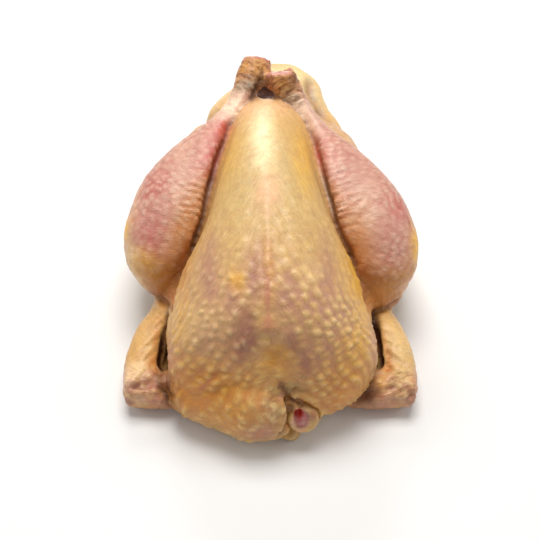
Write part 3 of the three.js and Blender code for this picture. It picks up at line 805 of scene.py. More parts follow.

# Patches of colour, a few of them painted shade or painted highlight as marked: the points that they may
# reach, then centre, reach in mm, colour and strength
patches = [
    # breast
    (onBreast, [
        ((0, -30, 92), (34, 36, 24), "sand", 0.75),
        # painted highlight: a pale streak down the keel
        ((-4, 8, 98), (7.5, 34, 14), "pale", 0.65),
        ((18, 6, 91), (6, 24, 10), "fat", 0.3),
        ((-3, 34, 94), (20, 14, 20), "peach", 0.6),
        ((-22, 0, 88), (9, 26, 12), "fat", 0.35),
        ((18, -8, 90), (7, 28, 12), "fat", 0.45),
        ((-1, -38, 95), (6, 12, 8), "peach", 0.8),
        ((-1, -80, 85), (3, 22, 10), "orange", 0.4),
        ((-0.9, -101.6, 71), (3, 5, 5), "rose", 0.5),
        ((-0.9, -92, 79), (1.3, 12, 6), "rose", 0.5),
        ((-30, -98, 64), (14, 12, 12), "cream", 0.3),
        ((30, -98, 62), (14, 12, 12), "cream", 0.3),
        ((-7, -82, 83), (4.5, 17, 9), "mauve", 0.75),
        ((8, -91, 79), (4.5, 12, 8), "mauve", 0.6),
        ((27, -74, 77), (5, 20, 8), "mauve", 0.55),
        ((-28, -76, 76), (5, 22, 8), "mauve", 0.55),
        ((-10, -105, 65), (6, 8, 6), "deepMauve", 0.8),
        ((-14, -108, 58), (6, 8, 7), "deepMauve", 0.8),
        ((-19, -111, 51), (6, 8, 6), "mauve", 0.7),
        ((8, -104, 67), (5, 8, 5), "mauve", 0.6),
        ((12, -106, 61), (5, 8, 6), "deepMauve", 0.55),
        ((17, -110, 53), (4.5, 8, 8), "deepMauve", 0.85),
        ((-27, -104, 60), (12, 10, 12), "mauve", 0.5),
        ((28, -107, 54), (9, 10, 12), "mauve", 0.3),
        ((-15.7, -83.6, 80.4), (4, 6, 5), "fat", 0.8),
        ((-14.5, -84, 80.4), (1.6, 2.4, 3), "ochre", 0.7),
        ((18, -78, 80), (6, 8, 5), "cream", 0.35),
        ((-30, -70, 74), (8, 22, 9), "mauve", 0.35),
        ((43, -56, 58), (8, 26, 15), "fat", 0.85),
        ((46, -84, 50), (8, 14, 14), "fat", 0.6),
        ((-43, -60, 60), (6, 24, 10), "orange", 0.45),
        ((-45, -84, 50), (8, 20, 12), "fat", 0.5),
        ((3, -110, 56), (8, 9, 11), "ochre", 0.9),
    ]),
    (frontSkin, [
        # olive and deep mauve darken the hollow and fold over the neck stump: the skin's colour deepened by
        # painted shade
        ((9, -116, 41), (7, 9, 4.5), "olive", 0.85),
        ((6, -116, 40), (2, 6, 3), "deepMauve", 0.6),
        ((-36, -111, 34), (20, 12, 13), "amber", 0.75),
        ((-22, -122, 25), (14, 9, 10), "amber", 0.5),
        ((-34, -115, 29), (9, 8, 5), "rosy", 0.5),
        ((-20, -114, 40), (10, 8, 6), "fat", 0.35),
        ((34, -112, 30), (18, 10, 12), "amber", 0.65),
    ]),
    (onBreast, [
        ((40, -102, 50), (10, 12, 12), "fat", 0.5),
    ]),
    (frontSkin, [
        ((-5, -127, 20), (9, 7, 8), "mauve", 0.85),
        ((-1, -121, 33), (5, 6, 5), "grey", 0.45),
        ((-48, -94, 32), (4, 14, 14), "rosy", 0.75),
        ((50.5, -88, 36), (4, 16, 14), "pink", 0.6),
        ((51, -80, 30), (3, 10, 9), "pink", 0.6),
    ]),
    (onBreast, [
        ((-11, -99, 72), (5, 8, 6), "deepMauve", 0.7),
        ((-18, -91, 76), (5, 10, 7), "mauve", 0.65),
    ]),
    (frontSkin, [
        ((-24, -112, 44), (24, 12, 15), "gold", 0.6),
        ((-31, -113, 37), (20, 10, 12), "honey", 0.5),
        ((-42, -112, 26), (14, 9, 9), "honey", 0.5),
        ((38, -111, 33), (14, 9, 13), "honey", 0.6),
        ((-20, -122, 28), (16, 9, 8), "gold", 0.5),
        ((32, -106, 48), (17, 12, 18), "gold", 0.5),
    ]),
    (everywhere, [
        ((-53, -96.5, 20.5), (4, 6, 4), "rosy", 0.6),
    ]),
    # left leg; the brown low on its inner side, by the breast, is painted shade
    (leftLeg, [
        ((-21, 40, 88), (12, 16, 12), "bone", 0.9),
        ((-25, 20, 81), (5, 12, 9), "red", 0.5),
        ((-30, 5, 77), (5, 11, 8), "red", 0.95),
        ((-43, 8, 78), (10, 12, 8), "bone", 0.3),
        ((-62, -33, 64), (9, 12, 10), "deepMauve", 0.3),
        ((-61, -11, 75), (8, 10, 8), "rose", 0.75),
        ((-63, -35, 62), (8, 12, 9), "rose", 0.8),
        ((-47, -12, 75), (5, 16, 8), "bone", 0.4),
        ((-37, -22, 68), (5, 14, 9), "orange", 0.8),
        ((-43, -42, 56), (6, 16, 14), "brown", 0.75),
        ((-50, -54, 42), (6, 9, 12), "brown", 0.85),
        ((-58, -47, 47), (16, 10, 9), "ochre", 0.9),
        ((-62, -48, 43), (13, 7, 8), "ochre", 0.9),
        ((-60, -49, 35), (15, 8, 7), "kneeBrown", 0.9),
        ((-72, -40, 36), (8, 10, 10), "cream", 0.6),
        ((-66, -44, 52), (7, 7, 8), "fat", 0.5),
        ((-66, -44, 46), (11, 7, 8), "gold", 0.4),
        ((-77, -25, 56), (4, 8, 7), "fat", 1.0),
        ((-73, -16, 66), (4, 20, 8), "peach", 0.5),
        ((-74, -38, 50), (5, 12, 10), "cream", 0.7),
    ]),
    # right leg; the larger brown mark low on its inner side is painted shade
    (rightLeg, [
        ((14, 32, 90), (12, 16, 12), "bone", 0.9),
        ((28, 4, 77), (4, 13, 8), "red", 0.7),
        ((50, -16, 76), (9, 18, 9), "legTop", 0.3),
        ((43, -5, 79), (9, 12, 8), "mauve", 0.4),
        ((68, -22, 69), (8, 10, 8), "rose", 0.75),
        ((73.6, -26.8, 62), (1.5, 1.8, 1.8), "brown", 0.9),
        ((49, -28, 69), (7, 16, 8), "bone", 0.45),
        ((63, -42, 60), (9, 9, 8), "mauve", 0.4),
        ((46, -44, 55), (6, 18, 14), "orange", 0.8),
        ((55, -58, 40), (12, 8, 12), "ochre", 0.95),
        ((64, -53, 41), (13, 7, 9), "ochre", 0.9),
        ((60, -56, 31), (14, 8, 7), "kneeBrown", 0.8),
        ((72, -42, 38), (8, 10, 10), "peach", 0.6),
        ((49, -56, 42), (4, 12, 12), "brown", 0.8),
        ((78, -34, 53), (5.5, 13, 10), "fat", 1.0),
        ((70, -48, 46), (8, 8, 8), "ochre", 0.6),
    ]),
    # hocks and rump
    (hocks, [
        ((-10, 60, 98), (13, 9, 14), "bark", 1.0),
        ((6, 51, 99), (11, 9, 12), "bark", 1.0),
        ((8, 46, 96), (8, 8, 9), "bark", 0.9),
        ((0, 48, 96), (3.5, 6, 6), "red", 0.45),
        ((5, 53, 104), (10, 5, 2.4), "rim", 0.6),
        ((-10, 69, 105), (6, 4, 2.4), "rim", 0.6),
        ((13, 49, 99), (3, 6, 6), "shadow", 0.7),
    ]),
    (everywhere, [
        # painted shade in the hollow of the rear cut, near black at its core
        ((-2, 99, 54), (15, 13, 14), "vent", 0.95),
        ((-4, 104, 51), (14, 11, 12), "deepShade", 1.0),
    ]),
    (hocks, [
        ((-11, 51, 95), (9, 3.4, 5), "grey", 0.75),
        ((8, 41, 93), (9, 3.4, 5), "grey", 0.7),
    ]),
    (everywhere, [
        ((27, 101, 54), (4, 11, 9), "grey", 0.85),
        ((32, 86, 51), (4, 9, 8), "grey", 0.75),
        ((24, 92, 54), (3, 10, 8), "pink", 0.5),
        ((42, 83, 42), (6, 8, 10), "fat", 0.55),
    ]),
    (onTail, [
        ((18, 112, 56), (20, 14, 12), "pale", 0.35),
    ]),
    (everywhere, [
        ((-34, 84, 40), (12, 16, 14), "pink", 0.35),
        ((40, 70, 52), (14, 18, 12), "pink", 0.35),
        ((-50, 40, 50), (14, 26, 14), "pink", 0.45),
        ((54, 30, 50), (14, 26, 14), "pink", 0.45),
        ((-70, 0, 34), (12, 30, 12), "fat", 0.45),
        ((72, -6, 34), (12, 30, 12), "fat", 0.45),
        ((-58, 44, 24), (14, 22, 12), "peach", 0.5),
        ((60, 40, 24), (14, 22, 12), "peach", 0.5),
    ]),
    (onTail, [
        ((2, 126, 34), (22, 12, 10), "fat", 0.5),
        ((-26, 112, 34), (12, 12, 14), "peach", 0.45),
    ]),
    # wings; deep mauve and mauve along the wrist folds and near-black where each hand meets the body are
    # painted shade
    (onWing, [
        ((66, -80, 20), (9, 18, 10), "cream", 0.75),
        ((-64, -76, 22), (5, 16, 8), "cream", 0.2),
        ((62, -84, 20), (1.6, 7, 4), "orange", 0.6),
        ((60, -76, 22), (1.4, 7, 4), "orange", 0.5),
        ((-60, -72, 23), (1.6, 8, 4), "orange", 0.5),
        ((-60, -86, 18), (3.4, 6, 5), "orange", 0.9),
        ((-70, -95, 20), (7, 7, 6), "bone", 0.6),
        ((-65, -100, 19.5), (4, 2.4, 3), "deepMauve", 0.85),
        ((-58, -100, 19.5), (4, 2.4, 3), "mauve", 0.7),
        ((-62, -94, 21), (4, 3, 3), "rosy", 0.6),
        ((-67, -91, 21), (4, 3, 3), "cream", 0.6),
        ((-73, -105, 11), (4, 5, 6), "deepMauve", 0.6),
        ((-70, -102, 16), (5, 4, 5), "pink", 0.6),
        ((-49, -104, 17), (4, 4, 5), "deepShade", 0.8),
        ((-56, -106, 13), (9, 4, 5), "rosy", 0.45),
        ((-66, -104, 13), (4, 4, 4), "bone", 0.5),
        ((-62, -106, 9), (6, 4, 3), "ochre", 0.5),
        ((67, -105, 14), (5, 3, 2.4), "bone", 0.55),
        ((61, -104, 15), (4, 3, 3), "peach", 0.5),
        ((60, -90, 19), (3, 3.4, 4), "orange", 1.0),
        ((65, -101, 19), (7, 3.4, 4), "deepMauve", 0.6),
        ((73, -104, 13), (4, 6, 7), "mauve", 0.8),
        ((56, -98, 20), (3.4, 4, 4), "fat", 0.6),
        ((50, -104, 16), (4, 3.4, 5), "deepShade", 0.8),
        ((60, -106, 12), (7, 4, 4), "rosy", 0.45),
        ((52, -68, 20), (4, 16, 6), "orange", 0.7),
        ((-53, -60, 22), (4, 14, 6), "orange", 0.7),
    ]),
]
patchEdge = {"wander": 0.24, "speckle": 0.45, "steepness": 2.4}
for where, spots in patches:
    for centre, reach, colour, strength in spots:
        away = toPlace(points, centre, reach) * (1 + patchEdge["wander"] * patchy)
        amount = np.exp(-away ** patchEdge["steepness"]) * strength * (1 + patchEdge["speckle"] * speckle)
        paint = painted(paint, amount * where, skinColours[colour])

# Flesh shows mauve, orange or rosy between the bumps, whose tops are cream, gold low on the front: partly the
# skin's own colour and partly painted highlight
valley = np.clip(1 - dots * 2.2, 0, 1) * pimpled
flesh = np.where(onBreast, smoothStep(-52, -84, y) * smoothStep(22, 44, z) * 0.68, 0)
lowFront = smoothStep(-92, -104, y) * smoothStep(10, 18, z) * smoothStep(56, 42, z)
flesh = spread((flesh * (0.85 + 0.9 * lump)).clip(0, 1), edges, 3)
legFlesh = np.where(onLeg, 0.85 * (1 - smoothStep(0.6, 0.75, legRun)), 0)
topShare = ~onLeg * smoothStep(0.3, 0.95, dots) * pimpled * (0.42 + 0.25 * lowFront)

# Crumpled skin is pale on its ridges, and deep mauve in its folds as painted shade
crumpled = np.clip(wrists + ragged, 0, 1)
ridges = softNoise(points, 3.6, seed + 6)
paint = layered(paint, skinColours, [
    (valley * flesh * (1 - 0.6 * lowFront), "mauve"),
    (valley * frontSkin * lowFront * 0.55, "orange"),
    (valley * spread(legFlesh, edges, 3) * 0.4, "rosy"),
    (onLeg * smoothStep(0.2, 0.9, dots) * pimpled * 0.25, "legTop"),
    (topShare * (1 - lowFront), "breastTop"),
    (topShare * lowFront, "goldTop"),
    # Painted shade in the troughs of the leg folds and painted highlight on their crests, then painted shade
    # in the other folds
    (foldZone * smoothStep(0.1, -0.9, legFolds) * 0.5, "brown"),
    (foldZone * smoothStep(0.2, 0.9, legFolds) * 0.3, "peach"),
    (folded * 0.6, "brown"),
    (hockZone * (1 - rings) ** 2 * 0.5, "brown"),
    (crumpled * smoothStep(0.05, 0.4, ridges) * 0.7, "cream"),
    (crumpled * smoothStep(0.2, 0.0, np.abs(ridges)) * 0.45, "deepMauve"),
])

# Painted shade along the creases and edges at the neck, the legs and the wings, with rose and red skin colour
# along a few of them: places, width in mm, colour and strength
shadowLines = [
    ([(10, -119.5, 31), (9, -122.5, 26), (7.5, -124, 24), (5.8, -125, 20), (4.4, -125, 14)],
     1.5, "deepShade", 0.95),
    ([(5, -115.5, 44.5), (5.5, -116, 42), (7.6, -117, 38.5), (9.6, -117.4, 35)], 1.2, "shadow", 0.8),
    ([(9.5, -116.5, 40), (13, -116.6, 38.6), (18, -116.5, 38.4)], 1.1, "shadow", 0.6),
    ([(10, -117.4, 34), (12.5, -117.6, 32.5), (16, -118, 29), (19, -119.4, 25.4), (21, -120.2, 22)],
     1.4, "shadow", 0.85),
    ([(-64, -49, 29), (-60.6, -50.6, 28.6), (-57, -54, 29), (-53, -58, 32), (-51, -62, 34)],
     1.5, "shadow", 0.8),
    ([(68, -52, 28.5), (64, -55.4, 28.8), (60, -57.6, 28), (56, -60.5, 27), (52, -64, 28)],
     1.5, "shadow", 0.8),
    ([(-26, -111.7, 46), (-30, -112.5, 40), (-34, -113, 33)], 1.2, "rose", 0.5),
    ([(-25, 25, 88), (-29.5, 12, 86), (-32.5, 1, 84), (-34, -8, 79)], 6.0, "rose", 0.45),
    ([(-25, 25, 86), (-29, 12, 84.5), (-32, 1, 82.6), (-33.6, -7, 78)], 3.8, "red", 0.85),
    ([(-27, 14, 84), (-29.5, 2, 81), (-32, -10, 75.5), (-34.4, -22, 69), (-37.6, -34, 61), (-43, -44, 52)],
     2.6, "shadow", 0.85),
    ([(25, 16, 83), (28.5, -5, 79), (31.5, -20, 73.5), (34, -29, 69.5), (38, -38, 62), (43.5, -46, 52)],
     2.2, "shadow", 0.75),
    ([(-34.5, -10, 78), (-37, -18, 76), (-40, -26, 73), (-43, -34, 67.5), (-47, -43, 58)],
     6.0, "innerLegShade", 0.6),
    ([(33, -14, 76), (36, -24, 72), (39, -31, 68), (43, -39, 62)], 5.0, "innerLegShade", 0.5),
    ([(-5.5, 58, 97.5), (-8, 54, 93.6), (-9.5, 50, 90.5), (-11.5, 47, 89)], 2.0, "deepShade", 0.9),
    ([(-57, -92, 20), (-53.6, -98, 19.5), (-50.4, -104, 18.8), (-48, -110, 20)], 1.8, "shadow", 0.8),
    ([(-32.5, -4, 78), (-33.5, -10, 76)], 2.4, "deepShade", 0.9),
    ([(-39, -26, 73), (-43, -36, 66), (-47, -43.5, 58), (-51.8, -47.6, 45), (-54, -50, 37)],
     9.0, "innerLegShade", 0.75),
    ([(-43, -41, 62), (-47.5, -46, 53), (-50, -48, 44)], 3.0, "brown", 0.6),
    ([(40, -30, 68), (45, -42, 60), (51, -50, 50), (54, -55, 40)], 10.0, "innerLegShade", 0.7),
    ([(-63, -48, 30), (-57, -51, 32), (-52, -54, 34)], 3.0, "brown", 0.5),
    ([(66, -51, 30), (60, -55, 30.6), (55, -58, 31)], 2.4, "brown", 0.5),
]
for line, width, colour, strength in shadowLines:
    amount = np.exp(-((toLine(points, line) + patchy * 0.3) / width) ** 2) * strength
    paint = painted(paint, amount, skinColours[colour])

# Wet brown shadow lives in the deep creases and in the slots beside the wings
slots = np.maximum(near((51, -68, 14), (4, 24, 14)), near((-51, -72, 14), (4, 20, 14)))
slots = (onWing | onThigh | onBreast) * np.clip(slots * smoothStep(28, 18, z) * 1.4, 0, 1)
redGap = np.clip(near((-31, 10, 76), (9, 16, 9)) + near((26, 10, 77), (8, 14, 9)), 0, 1)
deep = np.clip(legCrease * 1.3 - 0.35, 0, 1) * (1 - 0.8 * redGap)
deep = np.maximum.reduce([deep, wingCrease * 0.9, hockCrease * 0.8, slots * 0.7, slotShade * 0.85])
ventCore = toPlace(points, ventValues["corePlace"], ventValues["coreReach"])
paint = layered(paint, skinColours, [
    (np.clip(legCrease * 1.2, 0, 1) * redGap * 0.9, "red"),
    (np.maximum(slots, slotShade), "shadow"),
    (np.clip(deep, 0, 1) * 0.9, "deepShade"),
    # The rear cut's pit: flesh colour down its sides, and painted shade near black at its core
    (smoothStep(1.3, 0.95, ventReach * (1 + 0.1 * patchy)) * 0.85, "ventFlesh"),
    (smoothStep(1.3, 0.75, ventCore * (1 + 0.12 * patchy)) * 0.97, "deepShade"),
])
storeColour(skin, "paint", paint)
storeFloat(skin, "wrinkled", np.clip(wrinkleZone + hockZone, 0, 1))
storeFloat(skin, "scaled", spread(hockZone, edges, 2))

# Where the skin shows small cells: legs and thighs, but not the rear cut, the creases and the pads of fat
celled = np.where(onThigh, 0.5, np.where(onTail, 0.2, 0))
celled = np.where(onLeg, 1 - smoothStep(0.62, 0.76, legRun), celled)
celled = celled * np.clip(0.75 + 0.7 * softNoise(points, 18, seed + 12), 0.15, 1)
celled = celled * (1 - np.clip(vent * 1.5, 0, 1))
celled = celled * smoothStep(1.0, 1.7, toPlace(points, (-4, 104, 51), (12, 10, 10)))
fatty = near((60, -54, 36), (16, 12, 12)) + near((-60, -50, 38), (16, 10, 12))
fatty += near((78, -35, 52), (9, 18, 16)) + near((-77, -27, 56), (6, 10, 9))
fatty += near((-44, -40, 60), (8, 14, 12)) * 0.6
celled = spread(celled, edges, 6) * (1 - creased) * np.clip(1 - 0.85 * fatty, 0, 1)
storeFloat(skin, "celled", np.clip(celled, 0, 1))

# Places along and across the skin's fine lines
side = np.abs(across)
slant = np.where(onLeg, 0.45 * (1 - smoothStep(0.6, 0.75, legRun)), 0.45)
lineAcross = np.where(onBreast, side + 0.6 * along, along + slant * across)
lineAlong = np.where(onBreast, along - 0.6 * side, across - slant * along)
storeVector(skin, "tract", np.stack([lineAcross, lineAlong, z * 0.2], 1))
print("skin painted")


# Materials
def addNode(tree, kind, settings=None, inputs=None):
    node = tree.nodes.new("ShaderNode" + kind)
    for key, value in (settings or {}).items():
        setattr(node, key, value)
    for key, value in (inputs or {}).items():
        if isinstance(value, bpy.types.NodeSocket):
            tree.links.new(value, node.inputs[key])
        else:
            node.inputs[key].default_value = value
    return node


def newMaterial(name, surface):
    material = bpy.data.materials.new(name)
    material.use_nodes = True
    tree = material.node_tree
    tree.nodes.clear()
    shader = addNode(tree, "BsdfPrincipled", inputs=surface)
    addNode(tree, "OutputMaterial", inputs={"Surface": shader.outputs[0]})
    return material, tree, shader


# Raw plucked skin: thin, moist and slightly see-through over yellow fat, so soft edges and small wet glints
skinFinish = {
    "mottleMm": 6.0, "poreMm": 1.1, "lineMm": 1.7, "lineLengthMm": 7.0, "cellMm": 4.2, "warpMm": 8.0,
    "vein": "#9A6248", "cellTop": "#EDCDB4", "cellLine": "#B4685C", "scaleLine": "#6E4020",
    "roughness": 0.40, "saturation": 1.04,
    "poreBump": {"Strength": 0.5, "Distance": 0.0005}, "lineBumpM": 0.001,
    "cellBump": {"Strength": 0.4, "Distance": 0.0007},
    "surface": {
        "IOR": 1.38, "Subsurface Weight": 0.08, "Subsurface Radius": (1.0, 0.42, 0.2),
        "Subsurface Scale": 0.002, "Coat Weight": 0.16, "Coat Roughness": 0.28,
    },
}
skinMaterial, tree, shader = newMaterial("raw poultry skin", skinFinish["surface"])
place = addNode(tree, "TexCoord").outputs["Object"]
paintIn = addNode(tree, "Attribute", {"attribute_name": "paint"}).outputs["Color"]
tract = addNode(tree, "Attribute", {"attribute_name": "tract"}).outputs["Vector"]
mottle = addNode(tree, "TexNoise", inputs={
    "Vector": place, "Scale": 1000 / skinFinish["mottleMm"], "Detail": 4.0, "Roughness": 0.6}).outputs["Fac"]
pores = addNode(tree, "TexNoise", inputs={
    "Vector": place, "Scale": 1000 / skinFinish["poreMm"], "Detail": 3.0, "Roughness": 0.6}).outputs["Fac"]
stretched = addNode(tree, "VectorMath", {"operation": "MULTIPLY"}, {
    0: tract, 1: (1 / skinFinish["lineMm"], 1 / skinFinish["lineLengthMm"], 1.0)})
lines = addNode(tree, "TexNoise", inputs={
    "Vector": stretched.outputs[0], "Scale": 1.0, "Detail": 2.0, "Roughness": 0.5,
    "Distortion": 0.4}).outputs["Fac"]
warp = addNode(tree, "TexNoise", inputs={
    "Vector": place, "Scale": 1000 / skinFinish["warpMm"], "Detail": 1.0}).outputs["Color"]
warped = addNode(tree, "VectorMath", {"operation": "MULTIPLY_ADD"}, {
    0: warp, 1: (3.0, 3.0, 0.0), 2: tract}).outputs[0]
cellPlace = addNode(tree, "VectorMath", {"operation": "MULTIPLY"}, {
    0: warped, 1: (1 / skinFinish["cellMm"], 0.8 / skinFinish["cellMm"], 1.0)}).outputs[0]
cells = addNode(tree, "TexVoronoi", {"feature": "F1", "voronoi_dimensions": "2D"}, {
    "Vector": cellPlace, "Scale": 1.0, "Randomness": 0.5}).outputs["Distance"]

# How strongly each pattern shows: painted on the skin, or read from a source between two of its values
shares = {}
for name in ("wrinkled", "celled", "scaled"):
    shares[name] = addNode(tree, "Attribute", {"attribute_name": name}).outputs["Fac"]
ranges = {
    "mottled": (mottle, 0.45, 0.8, 0.0, 0.3, "LINEAR"),
    "cellTop": (cells, 0.05, 0.62, 1.0, 0.0, "SMOOTHSTEP"),
    "topPatches": (mottle, 0.3, 0.7, 0.18, 0.5, "LINEAR"),
    "cellEdge": (cells, 0.42, 0.75, 0.0, 0.36, "SMOOTHSTEP"),
    "scaleDark": (lines, 0.47, 0.36, 0.0, 0.6, "SMOOTHSTEP"),
    "fine": (pores, 0.3, 0.7, 0.92, 1.06, "LINEAR"),
    "lined": (lines, 0.3, 0.65, 0.9, 1.04, "LINEAR"),
    "rough": (mottle, 0.3, 0.7, skinFinish["roughness"] - 0.08, skinFinish["roughness"] + 0.1, "LINEAR"),
    "lineStrength": (shares["wrinkled"], 0.0, 1.0, 0.35, 1.0, "LINEAR"),
}
for name, (source, fromLow, fromHigh, toLow, toHigh, curve) in ranges.items():
    shares[name] = addNode(tree, "MapRange", {"interpolation_type": curve}, {
        "Value": source, "From Min": fromLow, "From Max": fromHigh,
        "To Min": toLow, "To Max": toHigh}).outputs["Result"]
products = {
    "topAmount": ("cellTop", "celled"), "topShare": ("topAmount", "topPatches"),
    "edgeShare": ("cellEdge", "celled"), "scaleShare": ("scaleDark", "scaled"), "grain": ("fine", "lined"),
}
for name, (first, second) in products.items():
    shares[name] = addNode(tree, "Math", {"operation": "MULTIPLY"}, {
        0: shares[first], 1: shares[second]}).outputs[0]

# The painted colour, then veins, cells, their edges and the hocks' dark rings over it
colour = paintIn
for name, over in (("mottled", "vein"), ("topShare", "cellTop"), ("edgeShare", "cellLine"),
                   ("scaleShare", "scaleLine")):
    colour = addNode(tree, "Mix", {"data_type": "RGBA"}, {
        0: shares[name], 6: colour, 7: fromHex(skinFinish[over])}).outputs[2]
finished = addNode(tree, "VectorMath", {"operation": "SCALE"}, {0: colour, "Scale": shares["grain"]})
rich = addNode(tree, "HueSaturation", inputs={
    "Saturation": skinFinish["saturation"], "Color": finished.outputs[0]})
poreBump = addNode(tree, "Bump", inputs={**skinFinish["poreBump"], "Height": pores})
lineBump = addNode(tree, "Bump", inputs={
    "Strength": shares["lineStrength"], "Distance": skinFinish["lineBumpM"], "Height": lines,
    "Normal": poreBump.outputs[0]})
cellBump = addNode(tree, "Bump", inputs={
    **skinFinish["cellBump"], "Height": shares["topAmount"], "Normal": lineBump.outputs[0]})
tree.links.new(rich.outputs[0], shader.inputs["Base Color"])
tree.links.new(shares["rough"], shader.inputs["Roughness"])
tree.links.new(cellBump.outputs[0], shader.inputs["Normal"])
skin.data.materials.append(skinMaterial)
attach(skin, "root")
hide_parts("guinea_fowl")


# Cut faces: a disc grown from a cylinder's end by insets, then shaped in code
def cutFace(name, centre, facing, radius, depth, rings):
    turn = Vector(facing).to_track_quat("Z", "Y")
    middle = toFrame(centre) - turn @ Vector((0, 0, depth * mm / 2))
    bpy.ops.mesh.primitive_cylinder_add(vertices=56, radius=radius * mm, depth=depth * mm, location=middle,
                                        rotation=turn.to_euler())
    piece = bpy.context.object
    piece.name = name
    bpy.ops.object.transform_apply(location=True, rotation=True, scale=True)
    normal = Vector(facing).normalized()
    bpy.ops.object.mode_set(mode="EDIT")
    bpy.ops.mesh.select_all(action="DESELECT")
    bpy.ops.object.mode_set(mode="OBJECT")
    for face in piece.data.polygons:
        face.select = face.normal.dot(normal) > 0.9
    bpy.ops.object.mode_set(mode="EDIT")
    for _ in range(rings):
        bpy.ops.mesh.inset(thickness=radius * mm / (rings + 1))
    bpy.ops.mesh.poke()
    bpy.ops.object.mode_set(mode="OBJECT")
    bpy.ops.object.shade_smooth()
    points = readPoints(piece)
    right = np.array(turn @ Vector((1, 0, 0)))
    up = np.array(turn @ Vector((0, 1, 0)))
    if up[2] < 0:
        right, up = -right, -up
    away = points - np.array(centre, float)
    height = away @ np.array(normal)
    return piece, points, away @ right, away @ up, height, right, up, np.array(normal)


# Neck stump: a cream ring of fat round a pink slip of meat, with a red hole at its top left
stumpValues = {
    "centre": neckCut["centre"], "facing": neckCut["facing"], "radius": 8.2, "depth": 7.0,
    "insets": 11,
    "ring": "#CBA564", "lip": "#D49C7C", "meat": "#BE7C78", "deepMeat": "#A85A50", "hole": "#B2261A",
    "flesh": "#A0523A", "sinew": "#E2C6B4",
}
stump, points, a, b, height, right, up, facing = cutFace(
    "neck_stump", stumpValues["centre"], stumpValues["facing"], stumpValues["radius"],
    stumpValues["depth"], stumpValues["insets"])
wavy = softNoise(points, 4.0, 3)
rough = softNoise(points, 1.6, 5)
reach = np.hypot(a, b) / stumpValues["radius"] + wavy * 0.1
slip = np.hypot((a + 0.9) / 3.3, (b - 0.8) / 4.8) + wavy * 0.14
hole = np.hypot((a + 2.5) / 2.1, (b - 4.2) / 2.6) + wavy * 0.1
lift = 0.9 * np.exp(-((reach - 0.74) / 0.16) ** 2) - 2.6 * smoothStep(0.8, 1.02, reach) ** 2
lift += np.where(slip < 1, 1.1 * (1 - slip ** 2), 0) - 0.7 * np.exp(-((slip - 1.05) / 0.16) ** 2)
lift -= 3.2 * np.exp(-hole ** 2 * 1.1)
lift += wavy * 0.6 + rough * 0.4
onFace = smoothStep(-1.0, -0.2, height)
points = points + facing * (lift * onFace)[:, None]
swell = smoothStep(-0.2, -3.0, height) * 0.08 + wavy * 0.05
points += (right * a[:, None] + up * b[:, None]) * swell[:, None]
writePoints(stump, points)
paint = np.tile(np.array(fromHex(stumpValues["ring"])[:3]), (len(points), 1))
paint = layered(paint, stumpValues, [
    (np.exp(-((slip - 1.2) / 0.28) ** 2) * 0.8, "lip"),
    (smoothStep(1.12, 0.92, slip), "meat"),
    (np.clip(smoothStep(1.0, 0.8, slip) * (0.5 + rough * 1.5), 0, 0.8), "deepMeat"),
    (np.exp(-((slip - 1.03) / 0.09) ** 2) * 0.3, "deepMeat"),
    (np.exp(-np.hypot((a - 4.8) / 2.4, (b - 3.5) / 3.6) ** 2) * 0.7, "flesh"),
    (np.exp(-np.hypot(a + 5.6, (b + 0.5) / 2.2) ** 2) * 0.6, "lip"),
    (1.5 * np.exp(-hole ** 3), "hole"),
    (np.exp(-np.hypot((a - 0.4) / 0.7, (b + 0.8) / 2.6) ** 2) * 0.15, "sinew"),
])
storeColour(stump, "paint", paint)

# Cut flesh: wetter than skin, streaked by its fibres
fleshFinish = {
    "fibreMm": 0.9, "roughness": 0.3, "fibreBump": {"Strength": 0.5, "Distance": 0.0005},
    "surface": {
        "IOR": 1.4, "Subsurface Weight": 0.12, "Subsurface Radius": (1.0, 0.3, 0.2),
        "Subsurface Scale": 0.002, "Coat Weight": 0.3, "Coat Roughness": 0.12,
    },
}
fleshMaterial, tree, shader = newMaterial("raw cut flesh and fat", fleshFinish["surface"])
place = addNode(tree, "TexCoord").outputs["Object"]
paintIn = addNode(tree, "Attribute", {"attribute_name": "paint"}).outputs["Color"]
fibres = addNode(tree, "TexNoise", inputs={
    "Vector": place, "Scale": 1000 / fleshFinish["fibreMm"], "Detail": 3.0, "Roughness": 0.6}).outputs["Fac"]
shade = addNode(tree, "MapRange", inputs={
    "Value": fibres, "From Min": 0.3, "From Max": 0.7, "To Min": 0.86, "To Max": 1.12}).outputs["Result"]
finished = addNode(tree, "VectorMath", {"operation": "SCALE"}, {0: paintIn, "Scale": shade})
tree.links.new(finished.outputs[0], shader.inputs["Base Color"])
gloss = addNode(tree, "MapRange", inputs={
    "Value": fibres, "To Min": fleshFinish["roughness"] - 0.06, "To Max": fleshFinish["roughness"] + 0.1})
tree.links.new(gloss.outputs["Result"], shader.inputs["Roughness"])
fibreBump = addNode(tree, "Bump", inputs={**fleshFinish["fibreBump"], "Height": fibres})
tree.links.new(fibreBump.outputs[0], shader.inputs["Normal"])

